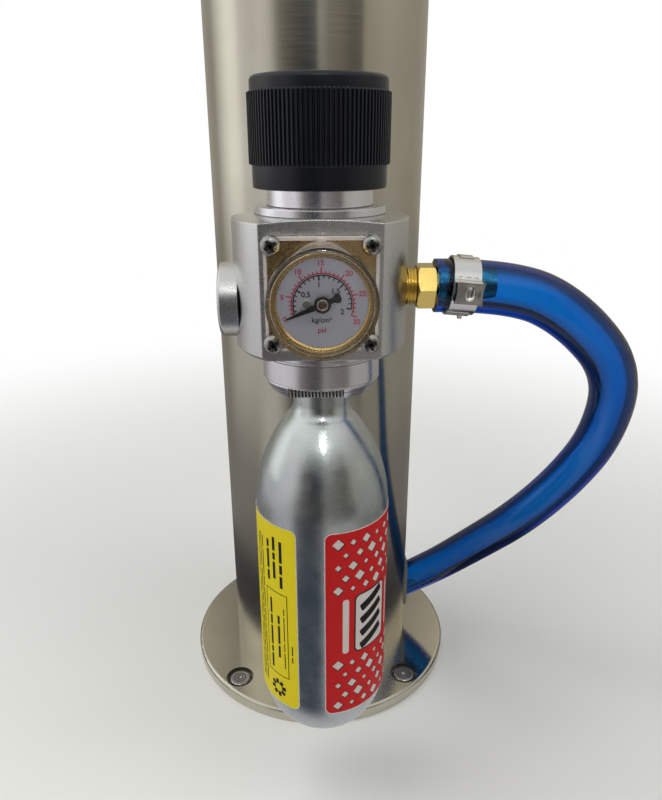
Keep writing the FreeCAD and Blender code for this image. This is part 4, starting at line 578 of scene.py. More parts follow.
# ------------------------------------------------------------------ hose
def make_hose(finish):
    clear_selection()
    curve = bpy.data.curves.new("hose_line", "CURVE")
    curve.dimensions = "3D"
    curve.resolution_u = 16
    spline = curve.splines.new("NURBS")
    spline.points.add(len(HOSE_ROUTE) - 1)
    for point, place in zip(spline.points, HOSE_ROUTE):
        point.co = (place[0] * MM, place[1] * MM, place[2] * MM, 1)
    spline.order_u = 3
    spline.use_endpoint_u = True
    line = bpy.data.objects.new("hose_line", curve)
    bpy.context.collection.objects.link(line)
    bpy.context.view_layer.update()
    route = [vertex.co.copy() for vertex in bpy.data.meshes.new_from_object(line).vertices]
    curve.bevel_depth = HOSE_OUTER / 2 * MM
    curve.bevel_resolution = 14
    curve.use_fill_caps = False
    choose(line)
    bpy.ops.object.convert(target="MESH")
    hose = bpy.context.active_object
    outward(hose, 0.0000001)
    modify(hose, "SOLIDIFY", thickness=(HOSE_OUTER - HOSE_BORE) / 2 * MM, offset=-1)
    smooth(hose, 50)
    finish_piece(hose, "gas_hose_tube", "tower", finish["hose"], replaces=["gas_hose"])


# ------------------------------------------------------------------ knob
RIBS = 100
RIB_CREST, RIB_ROOT = 17.95, 17.35
RIB_START, RIB_END, RIB_SLOPE = 5.5, 22.6, 0.35
KNOB_BAND, KNOB_BORE, KNOB_HOLLOW, KNOB_EDGE = 17.2, 14.6, 13.0, 1.3


def make_knob(finish):
    """Moulded knob: plain bands above and below a ring of fine ribs."""
    band = turned([
        (KNOB_BORE, KNOB_HOLLOW), (KNOB_BORE, 0), (KNOB_BAND - 0.4, 0), (KNOB_BAND - 0.1, 0.15),
        (KNOB_BAND, 0.5), (KNOB_BAND, RIB_START), (RIB_ROOT, RIB_START), (RIB_ROOT, RIB_END),
        (KNOB_BAND, RIB_END), *rounded_rings(KNOB_BAND, KNOB_HEIGHT, KNOB_EDGE), (8.0, KNOB_HEIGHT),
        (1.0, KNOB_HEIGHT),
    ], 128, start="open")
    clear_selection()
    bpy.ops.mesh.primitive_circle_add(vertices=RIBS * 4, radius=RIB_ROOT * MM, fill_type="NGON")
    ring = bpy.context.active_object
    bpy.ops.object.mode_set(mode="EDIT")
    bpy.ops.transform.translate(value=(0, 0, RIB_START * MM))
    grown = RIB_CREST / RIB_ROOT
    here = RIB_START
    for height, share in [(RIB_START + RIB_SLOPE, grown), (RIB_END - RIB_SLOPE, 1.0),
                          (RIB_END, 1 / grown)]:
        bpy.ops.mesh.extrude_region_move(TRANSFORM_OT_translate={"value": (0, 0, (height - here) * MM)})
        level = height * MM
        pick(ring, lambda vertex: level_with(vertex, level) and rib_step(vertex) in (0, 1))
        bpy.ops.transform.resize(value=(share, share, 1), center_override=(0, 0, level))
        pick(ring, lambda vertex: level_with(vertex, level))
        here = height
    leave_edit()
    outward(ring)
    knob = smooth(join(smooth(band, 30), ring), 28)
    finish_piece(knob, "ribbed_knob", "knob", finish["black"],
                 REGULATOR @ at(0, 0, KNOB_BASE), replaces=["pressure_knob"])


def rib_step(vertex):
    """Which of a rib's four points this one is: two on the crest, two in the root."""
    return round(math.atan2(vertex.co.y, vertex.co.x) / (2 * math.pi) * RIBS * 4) % 4


# ------------------------------------------------------------------ outlet and clamp
THREAD_START, THREAD_PITCH, THREAD_CREST, THREAD_ROOT = 21.2, 0.94, 5.14, 4.7
HEX_START, HEX_END, HEX_FLATS, HEX_TURN = 25.9, 31.0, 11.1, 2
BARB_START, BARB_PITCH, BARB_CREST, BARB_ROOT = HEX_END + 1.0, 5.1, 3.9, 3.2
TAIL_COLLAR, TAIL_TIP, TAIL_BORE = 4.4, HEX_END + 16.3, 2.2


def make_outlet(finish):
    """Brass tail: pipe thread, chamfered hexagon and three barbs."""
    thread = [(4.5, 21.0)]
    for turn in range(5):
        start = THREAD_START + THREAD_PITCH * turn
        thread += [(THREAD_ROOT, start), (THREAD_CREST, start + 0.36), (THREAD_CREST, start + 0.5),
                   (THREAD_ROOT, start + 0.86)]
    thread += [(TAIL_COLLAR, HEX_START), (TAIL_COLLAR, HEX_START + 1.0)]
    barbs = [(TAIL_COLLAR, HEX_END - 1.0), (TAIL_COLLAR, HEX_END), (BARB_ROOT, HEX_END),
             (BARB_ROOT, BARB_START)]
    for turn in range(3):
        start = BARB_START + BARB_PITCH * turn
        barbs += [(BARB_CREST - 0.05, start + 0.05), (BARB_CREST, start + 0.4),
                  (BARB_ROOT, start + BARB_PITCH - 0.05)]
    barbs += [(BARB_ROOT - 0.3, TAIL_TIP), (TAIL_BORE, TAIL_TIP), (TAIL_BORE, HEX_END - 0.5)]
    finish_piece(smooth(turned(barbs, 64), 25), "outlet_barbs", "tower",
                 finish["brass_painted_cool"], OUTLET)
    clear_selection()
    middle = (HEX_START + HEX_END) / 2
    bpy.ops.mesh.primitive_cylinder_add(vertices=6, radius=HEX_FLATS / math.sqrt(3) * MM,
                                        depth=(HEX_END - HEX_START) * MM, location=(0, 0, middle * MM),
                                        rotation=(0, 0, math.radians(HEX_TURN)))
    nut = fix_place(bpy.context.active_object)
    cone = turned([(5.5, HEX_START - 0.05), (5.6, HEX_START), (6.5, HEX_START + 0.55),
                   (6.5, HEX_END - 0.55), (5.6, HEX_END), (5.5, HEX_END + 0.05)], 72)
    carve(nut, cone, "INTERSECT")
    fitting = join(smooth(turned(thread, 64), 25), smooth(nut, 12))
    finish_piece(fitting, "outlet_hose_tail", "tower", finish["brass"], OUTLET,
                 replaces=["outlet_fitting"])


CLAMP_CENTRE, CLAMP_WIDTH, CLAMP_TILT = 38.4, 7.4, 5.5
BAND_INNER, BAND_OUTER, BAND_EDGE = 7.26, 7.85, 0.12
LAP_INNER, LAP_OUTER = 7.7, 8.25


def make_clamp(finish):
    """Ear clamp: rolled band, raised overlap at the top and one pinched ear with its dimple.
    Its own +Z runs along the hose, -Y faces the front and -X is up."""
    half = CLAMP_WIDTH / 2
    band = turned_ring([(BAND_INNER, -half), (BAND_OUTER - BAND_EDGE, -half),
                        (BAND_OUTER, -half + BAND_EDGE), (BAND_OUTER, half - BAND_EDGE),
                        (BAND_OUTER - BAND_EDGE, half), (BAND_INNER, half)], 128)
    for along in (-2.0, 0.1, 2.1):
        carve(band, fix_place(block((0.5, 0.7, 1.1), (0, -7.95, along)), spun(-25)))
    lap = turned([(LAP_INNER, -1.9), (8.1, -1.9), (LAP_OUTER, -1.75), (LAP_OUTER, 1.75), (8.1, 1.9),
                  (LAP_INNER, 1.9)], 128)
    carve(lap, block((10, 6.4, 10), (-9.4, 0.8, 0)), "INTERSECT")
    tail = turned([(LAP_INNER, -3.9), (8.15, -3.9), (LAP_OUTER, -3.8), (LAP_OUTER, 2.4), (8.15, 2.5),
                   (LAP_INNER, 2.5)], 128)
    carve(tail, block((10, 7.0, 10), (9.6, -0.6, 0)), "INTERSECT")
    tooth = round_corners(fix_place(block((1.5, 1.5, 1.1), (0, 0, 0)), spun(45)), 0.25, 3)
    fix_place(tooth, at(7.75, -2.4, 0.3))
    clamp = smooth(join(band, lap, tail, tooth, pinched_ear()), 30)
    finish_piece(clamp, "ear_clamp_band", "tower", finish["steel"],
                 at(CLAMP_CENTRE, REGULATOR_Y, PORT_Z) @ spun(CLAMP_TILT, "Y") @ TO_RIGHT,
                 replaces=["ear_clamp"])


EAR_HEIGHT, EAR_TALL, EAR_WIDE = 3.5, 5.7, 7.5


def pinched_ear():
    """Ear of the clamp: a hollow loop whose sides were pinched in, with an oval dimple in front."""
    front = -(BAND_OUTER + EAR_HEIGHT)
    ear = block((EAR_TALL, EAR_HEIGHT, EAR_WIDE), (0, front + EAR_HEIGHT / 2, 0))
    edit(ear)
    bpy.ops.mesh.select_all(action="SELECT")
    bpy.ops.mesh.subdivide(number_cuts=7)
    mesh = bmesh.from_edit_mesh(ear.data)
    for vertex in mesh.verts:
        across = 2 * vertex.co.x / (EAR_TALL * MM)
        along = 2 * vertex.co.z / (EAR_WIDE * MM)
        depth = (vertex.co.y / MM + BAND_OUTER) / -EAR_HEIGHT
        vertex.co.z *= 1 - 0.1 * math.cos(across * math.pi / 2)
        vertex.co.x *= 1 - 0.22 * math.sin(math.pi * depth) + 0.04 * along ** 2 * depth
        vertex.co.y += 0.4 * math.cos(across * math.pi / 2) * math.cos(along * math.pi / 2) * depth * MM
    bmesh.update_edit_mesh(ear.data)
    leave_edit()
    clear_selection()
    bpy.ops.mesh.primitive_uv_sphere_add(segments=48, ring_count=24, radius=1 * MM,
                                         location=(0, (front + 0.1) * MM, 0.1 * MM))
    dimple = bpy.context.active_object
    dimple.scale = (2.0, 0.9, 1.5)
    carve(ear, fix_place(dimple))
    bevel(ear, 0.5, 4, 40)
    return ear


# ------------------------------------------------------------------ gauge
COVER_BASE, COVER_FACE = 0.85, 2.6
COVER_SIDE, COVER_CORNER = 27.8, 1.2
LENS_RADIUS, LENS_BORE, LENS_FRONT, LENS_WALL = 13.1, 12.05, 14.5, 1.2
SCREW_PITCH = 12.1


def make_cover(finish):
    """Clear square cover with a raised round window and the stub of its moulding gate."""
    thickness = COVER_FACE - COVER_BASE
    cover = block((COVER_SIDE, COVER_SIDE, thickness), (0, 0, COVER_BASE + thickness / 2))
    bevel(round_corners(cover, COVER_CORNER), 0.18, 2)
    lens = turned([(LENS_RADIUS, COVER_BASE + 0.2), *rounded_rings(LENS_RADIUS, LENS_FRONT, 0.8),
                   (6.0, LENS_FRONT), (1.0, LENS_FRONT)], 160)
    carve(cover, lens, "UNION")
    inner = LENS_FRONT - LENS_WALL
    hollow = turned([(LENS_BORE, 0), *rounded_rings(LENS_BORE, inner, 0.15), (6.0, inner), (1.0, inner)], 160)
    carve(cover, hollow)
    for side_x in (-SCREW_PITCH, SCREW_PITCH):
        for side_y in (-SCREW_PITCH, SCREW_PITCH):
            carve(cover, fix_place(turned([(1.2, 0), (1.2, 9)], 32), at(side_x, side_y, 0)))
    gate = bevel(block((2.3, 1.5, 1.4), (0, 13.5, COVER_FACE + 0.5)), 0.3, 2)
    carve(cover, gate, "UNION")
    smooth(cover, 30)
    finish_piece(cover, "gauge_clear_cover", "tower", finish["clear"], GAUGE,
                 replaces=["gauge_window"])


def make_bezel(finish):
    """Sloping brass ring between the dial and the window, and a painted highlight along the moulded rim of
    the cover.
    """
    ring = turned_ring([(10.6, 11.05), (10.75, 11.2), (11.8, 11.75), (12.0, 11.75), (12.0, 11.3),
                        (11.76, 11.3), (11.76, 8.0), (11.6, 8.0), (11.6, 11.05)], 160)
    finish_piece(smooth(ring, 30), "gauge_bezel_ring", "tower",
                 finish["shaded_case_brass"], GAUGE)
    thickness = COVER_FACE - COVER_BASE - 0.1
    side = COVER_SIDE + 0.1
    rim = round_corners(block((side, side, thickness), (0, 0, COVER_FACE - thickness / 2 + 0.02)),
                        COVER_CORNER)
    carve(rim, round_corners(block((side - 1.5, side - 1.5, 9), (0, 0, 0)), 0.8))
    gate = bevel(block((2.3, 1.2, 1.0), (0, 13.3, COVER_FACE + 0.4)), 0.25, 2)
    finish_piece(smooth(join(rim, gate), 30), "gauge_cover_edge_highlight", "tower", finish["edge_highlight"],
                 GAUGE)


def make_cover_screws(finish):
    """Four domed Phillips screws that hold the cover and the case, with painted shade in their crosses."""
    head = turned([(1.1, -2.4), (1.1, 0.0), (2.4, 0.0), (2.5, 0.12), (2.5, 0.35), (2.42, 0.75),
                   (2.15, 1.15), (1.7, 1.45), (1.15, 1.64), (0.55, 1.72), (0.1, 1.74)], 48)
    for turn in (0, 90):
        carve(head, fix_place(cross_blade(0), spun(turn)))
    carve(head, turned([(0.25, 0.4), (1.05, 1.9)], 24))
    smooth(head, 32)
    # Dark blades at the bottom of each cross: painted shade in the recess.
    shade = join(cross_blade(-0.45), fix_place(cross_blade(-0.45), spun(90)))
    turns = {(-1, 1): 28, (1, 1): 12, (-1, -1): 33, (1, -1): 20}
    screws = [copy_of(head, at(SCREW_PITCH * side_x, SCREW_PITCH * side_y, COVER_FACE) @ spun(turn))
              for (side_x, side_y), turn in turns.items()]
    shades = [copy_of(shade, at(SCREW_PITCH * side_x, SCREW_PITCH * side_y, COVER_FACE) @ spun(turn))
              for (side_x, side_y), turn in turns.items()]
    bpy.data.objects.remove(head)
    bpy.data.objects.remove(shade)
    finish_piece(join(*screws), "gauge_cover_screws", "tower",
                 finish["screw_steel"], GAUGE, replaces=["gauge_screws"])
    finish_piece(join(*shades), "gauge_screw_recess_shade", "tower", finish["painted_shade"], GAUGE)


def cross_blade(rise):
    """One arm pair of the Phillips recess, tapering downwards."""
    blade = block((3.1, 0.8, 1.5), (0, 0, 1.6))
    edit(blade)
    pick(blade, lambda vertex: vertex.co.z < 1.2 * MM)
    bpy.ops.transform.resize(value=(0.5, 0.6, 1), center_override=(0, 0, 0.85 * MM))
    leave_edit()
    return fix_place(blade, at(0, 0, rise))


def flat_bar(length, width, start, angle, centre=(0, 0)):
    """Thin bar on the dial, from a radius outwards at an angle."""
    clear_selection()
    bpy.ops.mesh.primitive_plane_add(size=1)
    bar = bpy.context.active_object
    bar.scale = (length * MM, width * MM, 1)
    bar.location = ((start + length / 2) * MM, 0, 0)
    fix_place(bar)
    return fix_place(bar, at(*centre, 0) @ spun(angle))


def scale_arc(radius, width, first, last, centre=(0, 0)):
    """Printed arc, clockwise from the first angle to the last: one short edge spun about the centre."""
    piece = flat_bar(width, 0.1, radius - width / 2, 0)
    edit(piece)
    pick(piece, lambda vertex: vertex.co.y > 0)
    bpy.ops.mesh.delete(type="VERT")
    bpy.ops.mesh.select_all(action="SELECT")
    bpy.ops.mesh.spin(steps=90, angle=math.radians(last - first), center=(0, 0, 0), axis=(0, 0, 1))
    leave_edit()
    mesh = piece.data
    reach = max(vertex.co.y for vertex in mesh.vertices) + min(vertex.co.y for vertex in mesh.vertices)
    return fix_place(piece, at(*centre, 0) @ spun(last if reach > 0 else first))


def lettering(text, size, x, y, bold=0.0):
    """Printed characters about a centre."""
    clear_selection()
    bpy.ops.object.text_add()
    made = bpy.context.active_object
    made.data.body = text
    made.data.size = size * MM
    made.data.align_x, made.data.align_y = "CENTER", "CENTER"
    made.data.offset = bold * MM
    bpy.ops.object.convert(target="MESH")
    return fix_place(bpy.context.active_object, at(x, y, 0))


SCALE_CENTRE = (0.0, -0.2)
RED_ARC, BLACK_ARC = 7.22, 6.8
ZERO_ANGLE, PSI_ANGLE, BAR_ANGLE = 204.0, 7.5, 10.67
NUMBER_SIZE = 1.75
RED_NUMBERS = {"0": (-8.76, -3.47), "5": (-9.29, 1.71), "10": (-5.6, 7.5), "15": (-0.38, 9.54),
               "20": (6.15, 7.13), "25": (9.24, 2.43), "30": (7.93, -4.19)}
BLACK_NUMBERS = {"0.5": (-3.82, 2.31), "1": (-0.78, 4.6), "1.5": (3.06, 3.04), "2": (4.6, -1.78),
                 "0": (-4.8, -1.6)}


def make_dial_print(finish):
    """Red outer scale to 30 in psi, black inner scale to 2 in kg/cm2."""
    x, y = SCALE_CENTRE
    red = [scale_arc(RED_ARC, 0.28, ZERO_ANGLE, ZERO_ANGLE - 30 * PSI_ANGLE, SCALE_CENTRE)]
    for mark in range(31):
        length, width = (1.37, 0.3) if mark % 5 == 0 else (0.65, 0.24)
        red.append(flat_bar(length, width, RED_ARC, ZERO_ANGLE - PSI_ANGLE * mark, SCALE_CENTRE))
    for text, (across, up) in RED_NUMBERS.items():
        red.append(lettering(text, NUMBER_SIZE, x + across, y + up, 0.035))
    red.append(lettering("psi", 1.8, x - 0.14, y - 6.07, 0.03))
    black = [scale_arc(BLACK_ARC, 0.3, ZERO_ANGLE, ZERO_ANGLE - 20 * BAR_ANGLE, SCALE_CENTRE)]
    for mark in range(21):
        length, width = (1.17, 0.36) if mark % 5 == 0 else (0.72, 0.28)
        black.append(flat_bar(length, width, BLACK_ARC - length, ZERO_ANGLE - BAR_ANGLE * mark,
                              SCALE_CENTRE))
    for text, (across, up) in BLACK_NUMBERS.items():
        size = 1.2 if text == "0" else NUMBER_SIZE
        black.append(lettering(text, size, x + across, y + up, 0.04))
    black.append(lettering("kg/cm²", NUMBER_SIZE, x - 0.14, y - 3.7, 0.025))
    lift = GAUGE @ at(0, 0, DIAL_FACE + 0.05)
    finish_piece(join(*red), "dial_red_scale", "tower", finish["red_ink"], lift)
    finish_piece(join(*black), "dial_black_scale", "tower", finish["black_ink"], lift)
    rivet = turned([(0.97, 0), (0.97, 0.1), (0.8, 0.25), (0.2, 0.3)], 24)
    fix_place(rivet, at(x - 3.7, y + 0.27, DIAL_FACE))
    stop = turned([(0.35, 0), (0.35, 0.6), (0.15, 0.7)], 16)
    fix_place(stop, at(x - 6.1, y - 2.27, DIAL_FACE))
    finish_piece(smooth(join(rivet, stop)), "dial_rivet_and_stop", "tower",
                 finish["zinc"], GAUGE)


HAND_ANGLE = 202.6
HAND_LIFT = 1.05


def make_hand(finish):
    """Gauge hand: tapered blade, spade tail, hub washer and riveted cap."""
    clear_selection()
    bpy.ops.mesh.primitive_plane_add(size=1)
    blade = bpy.context.active_object
    edit(blade)
    bpy.ops.transform.resize(value=(9.2 * MM, 0.3 * MM, 1), center_override=(0, 0, 0))
    bpy.ops.transform.translate(value=(4.6 * MM, 0, 0))
    pick(blade, lambda vertex: vertex.co.x < 1 * MM)
    bpy.ops.transform.resize(value=(1, 5.6, 1), center_override=(0, 0, 0))
    here, width = 0.0, 1.68
    for reach, new_width in [(-2.2, 1.2), (-2.9, 1.35), (-3.4, 2.1), (-3.9, 2.3), (-4.3, 1.9), (-4.6, 1.0)]:
        bpy.ops.mesh.extrude_region_move(TRANSFORM_OT_translate={"value": ((reach - here) * MM, 0, 0)})
        bpy.ops.transform.resize(value=(1, new_width / width, 1), center_override=(0, 0, 0))
        here, width = reach, new_width
    leave_edit()
    outward(blade)
    modify(blade, "SOLIDIFY", thickness=0.25 * MM, offset=0)
    washer = turned([(1.95, -0.15), (1.95, 0.5), (1.85, 0.62), (1.0, 0.62)], 48)
    hand = smooth(join(blade, washer), 30)
    lift = GAUGE @ at(0, 0, DIAL_FACE + HAND_LIFT) @ spun(HAND_ANGLE)
    finish_piece(hand, "gauge_hand", "pointer", finish["hand"], lift,
                 replaces=["gauge_pointer"])
    cap = turned([(1.4, 0.55), (1.4, 0.8), (1.3, 0.95), (1.0, 0.95), (0.95, 0.72)], 48)
    finish_piece(smooth(cap), "gauge_hand_cap", "pointer", finish["steel"], lift)
    rivet = turned([(0.95, 0.6), (0.95, 0.76), (0.8, 0.88), (0.3, 0.92), (0.24, 0.76), (0.1, 0.76)], 32)
    finish_piece(smooth(rivet), "gauge_hand_rivet", "pointer", finish["copper"], lift)


# ------------------------------------------------------------------ springs
def make_springs(finish):
    """Coil springs, copied from the springs on the solids and smoothed, each with a mesh of its own."""
    for node, joint, axis, travel, held in [("range_spring", "spring_nut_travel", 2, 4.0, 0),
                                            ("valve_spring", "valve_poppet_lift", 2, 0.6, 0),
                                            ("button_spring", "purge_button_press", 0, 2.0, 1)]:
        spring = bpy.data.objects.new(f"{node}_coil", nodes[node].data.copy())
        bpy.context.collection.objects.link(spring)
        outward(spring)
        smooth(spring, 50)
        finish_piece(spring, f"{node}_coil", "tower", finish["spring"], replaces=[node])
        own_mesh(spring)


# ------------------------------------------------------------------ flange screws and grooves
FLANGE_RADIUS, SCREW_EDGE = 56.0, 7.0
SCREW_SEAT, SCREW_CROWN = 2.6, 4.5


def shade_band(first, second, segments):
    """Thin band between two rings that shades a groove, a recess or the root of a thread."""
    return turned([first, second], segments, start="open", end="open")


def make_screw_rings(finish):
    """Painted shade in the recess of each flange screw and in the ring turned on its head."""
    seat, crown = SCREW_SEAT + 0.06, SCREW_CROWN + 0.02
    rings = join(shade_band((4.4, seat), (5.5, seat), 48), shade_band((2.05, crown), (2.5, crown), 48),
                 shade_band((0.9, crown), (1.35, crown), 32))
    out = (FLANGE_RADIUS - SCREW_EDGE) * math.sqrt(0.5)
    copies = [copy_of(rings, at(out * side_x, out * side_y, 0)) for side_x, side_y in
              [(1, 1), (-1, 1), (-1, -1), (1, -1)]]
    bpy.data.objects.remove(rings)
    finish_piece(join(*copies), "flange_screw_rings", "tower", finish["screw_ring_shade"])


def make_turned_grooves(finish):
    """Painted shade of fine grooves round the bonnet ring, the foot of the neck, and the chamfer and
    top of the socket, each from its lower to its upper edge."""
    grooves = [((17.08, 199.15), (17.08, 199.33)), ((13.84, 201.12), (13.84, 201.34)),
               ((15.63, 153.97), (15.73, 154.12)), ((16.32, 161.6), (16.32, 161.8))]
    rings = [shade_band(lower, upper, 128) for lower, upper in grooves]
    finish_piece(smooth(join(*rings)), "turned_groove_shade", "tower",
                 finish["line"], REGULATOR)


CARTRIDGE_NECK, NECK_PITCH, NECK_TURNS = 7.96, 1.41, 9


def make_neck_thread(finish):
    """Shaded roots of the 5/8 in fine thread on the neck of the cartridge."""
    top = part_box("gas_cartridge")[1][2] / MM
    root = shade_band((CARTRIDGE_NECK, top - 1.6), (CARTRIDGE_NECK, top - 1.0), 64)
    roots = [copy_of(root, at(0, 0, -NECK_PITCH * turn)) for turn in range(NECK_TURNS)]
    bpy.data.objects.remove(root)
    finish_piece(smooth(join(*roots)), "cartridge_thread_roots", "cartridge",
                 finish["line"], REGULATOR)


# ------------------------------------------------------------------ socket window
VENT_MIDDLE = (-1.6, -12.5, -10.4)
VENT_WIDTH, VENT_HEIGHT, TOOTH_PITCH = 14.6, 2.9, 0.92


def make_serration(finish):
    """Row of fine upright teeth behind the vent window of the cartridge socket, and painted shade behind."""
    middle, back, level = VENT_MIDDLE
    tooth = bevel(block((TOOTH_PITCH / 2, 0.8, VENT_HEIGHT), (0, back, level)), 0.08, 2)
    count = round(VENT_WIDTH / TOOTH_PITCH)
    teeth = [copy_of(tooth, at(middle + TOOTH_PITCH * (index - (count - 1) / 2), 0, 0))
             for index in range(count)]
    bpy.data.objects.remove(tooth)
    place = REGULATOR @ at(0, 0, REGULATOR_Z)
    finish_piece(smooth(join(*teeth)), "vent_serration", "tower", finish["steel"], place)
    # Dark sheet behind the teeth: painted shade.
    shade = block((VENT_WIDTH + 0.1, 0.08, VENT_HEIGHT + 0.05), (middle, back + 0.06, level))
    finish_piece(shade, "vent_shade", "tower", finish["painted_shade"], place)


# ------------------------------------------------------------------ cartridge labels
# A label is drawn flat, X along its edge and Y up, and then rolled round the cartridge.
RED_WIDTH, YELLOW_WIDTH = 39.2, 33.6
RED_START, YELLOW_START = -89.5, 152.0
PRINT_LIFT = 0.02


def sheet_of(width, height, x, y, corner, lift=0.0):
    """Flat rounded rectangle with its lower left corner at the given place."""
    clear_selection()
    bpy.ops.mesh.primitive_plane_add(size=1)
    sheet = bpy.context.active_object
    sheet.scale = (width * MM, height * MM, 1)
    sheet.location = ((x + width / 2) * MM, (y + height / 2) * MM, lift * MM)
    fix_place(sheet)
    if corner:
        edit(sheet)
        bpy.ops.mesh.select_all(action="SELECT")
        bpy.ops.mesh.bevel(offset=corner * MM, segments=6, affect="VERTICES")
        leave_edit()
    return sheet


def frame_of(width, height, x, y, line, lift=0.0):
    """Thin printed frame: four bars."""
    return join(sheet_of(width, line, x, y, 0, lift), sheet_of(width, line, x, y + height - line, 0, lift),
                sheet_of(line, height, x, y, 0, lift), sheet_of(line, height, x + width - line, y, 0, lift))


def lozenge(radius, x, y, lift=0.0):
    clear_selection()
    bpy.ops.mesh.primitive_circle_add(vertices=4, radius=radius * MM, fill_type="NGON",
                                      location=(x * MM, y * MM, lift * MM))
    return fix_place(bpy.context.active_object)


def rolled(piece, start, radius=LABEL_INNER + LABEL_THICKNESS):
    """Cut the flat drawing in upright strips and roll it round the cartridge from a direction."""
    edit(piece)
    left = min(vertex.co.x for vertex in piece.data.vertices)
    right = max(vertex.co.x for vertex in piece.data.vertices)
    strips = max(2, math.ceil((right - left) / (0.7 * MM)))
    for index in range(1, strips):
        bpy.ops.mesh.select_all(action="SELECT")
        cut = left + (right - left) * index / strips
        bpy.ops.mesh.bisect(plane_co=(cut, 0, 0), plane_no=(1, 0, 0))
    mesh = bmesh.from_edit_mesh(piece.data)
    for vertex in mesh.verts:
        angle = math.radians(start) + vertex.co.x / (radius * MM)
        reach = radius * MM + vertex.co.z
        vertex.co = (reach * math.cos(angle), reach * math.sin(angle), vertex.co.y)
    bmesh.update_edit_mesh(piece.data)
    leave_edit()
    return piece


def make_labels(finish):
    """Red label with a lozenge pattern and a barred panel, yellow label with a plain ruled frame."""
    place = REGULATOR @ at(0, 0, LABEL_BASE)
    for name, width, start, replaces in [("red", RED_WIDTH, RED_START, "label_red"),
                                         ("yellow", YELLOW_WIDTH, YELLOW_START, "label_yellow")]:
        film = rolled(sheet_of(width, LABEL_HEIGHT, 0, 0, 2.2), start)
        modify(film, "SOLIDIFY", thickness=(LABEL_THICKNESS - 0.02) * MM, offset=-1)
        smooth(film, 30)
        finish_piece(film, f"{name}_label_backing", "cartridge", finish["backing"], place,
                     replaces=[replaces])
        field = rolled(sheet_of(width - 0.5, LABEL_HEIGHT - 0.5, 0.25, 0.25, 2.0, PRINT_LIFT), start)
        finish_piece(smooth(field, 30), f"{name}_label_field", "cartridge",
                     finish[f"{name}_film"], place)
    pale, dark = red_label_print()
    finish_piece(rolled(pale, RED_START), "red_label_pale_print", "cartridge",
                 finish["pale_ink"], place)
    finish_piece(rolled(dark, RED_START), "red_label_dark_print", "cartridge",
                 finish["dark_ink"], place)
    finish_piece(rolled(yellow_label_print(), YELLOW_START), "yellow_label_print", "cartridge",
                 finish["dark_ink"], place)


def red_label_print():
    """Lozenges above and below, and between them a pale panel with dark slanting bars."""
    pale, dark = [], []
    sizes = (1.5, 0.8, 1.15, 1.75, 0.95)
    for first_row, rows in [(3.0, 5), (45.6, 5)]:
        for row in range(rows):
            for column in range(8):
                radius = sizes[(row * 2 + column) % 5]
                x = 4.0 + column * 4.6 + (2.3 if row % 2 else 0)
                y = first_row + row * 3.9
                if x < RED_WIDTH - 2.5:
                    dark.append(lozenge(radius + 0.25, x + 0.15, y - 0.15, PRINT_LIFT * 2))
                    pale.append(lozenge(radius, x, y, PRINT_LIFT * 3))
    pale.append(sheet_of(2.0, 19.5, 5.4, 22.6, 0.9, PRINT_LIFT * 2))
    pale.append(sheet_of(1.3, 17.5, 24.6, 23.6, 0.6, PRINT_LIFT * 2))
    dark.append(sheet_of(13.4, 21.0, 9.2, 21.8, 2.0, PRINT_LIFT * 2))
    pale.append(sheet_of(12.4, 20.0, 9.7, 22.3, 1.6, PRINT_LIFT * 3))
    for index in range(4):
        bar = sheet_of(9.6, 2.7, -4.8, -1.35, 0.5, PRINT_LIFT * 4)
        dark.append(fix_place(bar, at(15.9, 25.4 + 4.6 * index, 0) @ spun(24)))
    return join(*pale), join(*dark)


def dashes(x, low, width, lengths, gap=0.7):
    """Broken upright rule: dashes of the given lengths, one above the other."""
    parts = []
    for length in lengths:
        parts.append(sheet_of(width, length, x, low, 0, PRINT_LIFT * 2))
        low += length + gap
    return parts


# Each rule: its place across, its lower end, its width and the lengths of its dashes.
YELLOW_RULES = [
    (23.0, 12.8, 0.9, (5.2, 2.1, 7.0, 3.4, 5.6)),
    (26.2, 18.0, 0.9, (4.4, 6.8, 3.0)),
    (28.6, 14.5, 0.35, (6.0, 3.0, 9.0, 2.4)),
    (22.2, 45.0, 1.1, (3.4, 6.6, 2.6)),
    (24.9, 46.5, 1.1, (5.8, 2.4, 4.6)),
    (27.6, 44.0, 1.1, (4.2, 3.2, 7.2)),
    (19.4, 5.0, 0.5, (6.0, 3.0, 8.5, 2.0, 5.0, 7.0, 3.5, 9.0, 4.0)),
    (18.0, 5.0, 0.5, (3.0, 7.5, 2.5, 9.0, 4.0, 3.0, 8.0, 5.5, 6.0)),
    (16.6, 5.0, 0.5, (8.0, 2.0, 5.0, 3.5, 9.5, 6.0, 2.5, 7.0, 4.5)),
    (31.4, 18.0, 0.4, (2.2, 3.4)),
]


def yellow_label_print():
    """A ruled frame with broken rules beside and inside it, and a ring of blocks at the foot."""
    parts = [frame_of(9.0, 31.0, 21.2, 11.0, 0.28, PRINT_LIFT * 2)]
    for x, low, width, lengths in YELLOW_RULES:
        parts += dashes(x, low, width, lengths)
    for index in range(8):
        wedge = sheet_of(1.7, 1.35, 1.5, -0.675, 0.2, PRINT_LIFT * 2)
        parts.append(fix_place(wedge, at(25.6, 5.6, 0) @ spun(45 * index + 12)))
    return join(*parts)


# ------------------------------------------------------------------ stage
# Plain tones of the things that stand round the studio and show in the gloss.
TONES = {
    "window": "#ffffff", "card": "#e8eae8", "chalk": "#d8d6d8", "stone": "#ceccce", "sand": "#c8c2b4",
    "pale_wall": "#a8a6a0", "wall": "#9a968e", "grey": "#8c8a8a", "clay": "#7a7672", "bark": "#6c6660",
    "walnut": "#5e5a56", "slate": "#4e5460", "soot": "#525050", "coal": "#383a40", "black": "#2c3036",
}
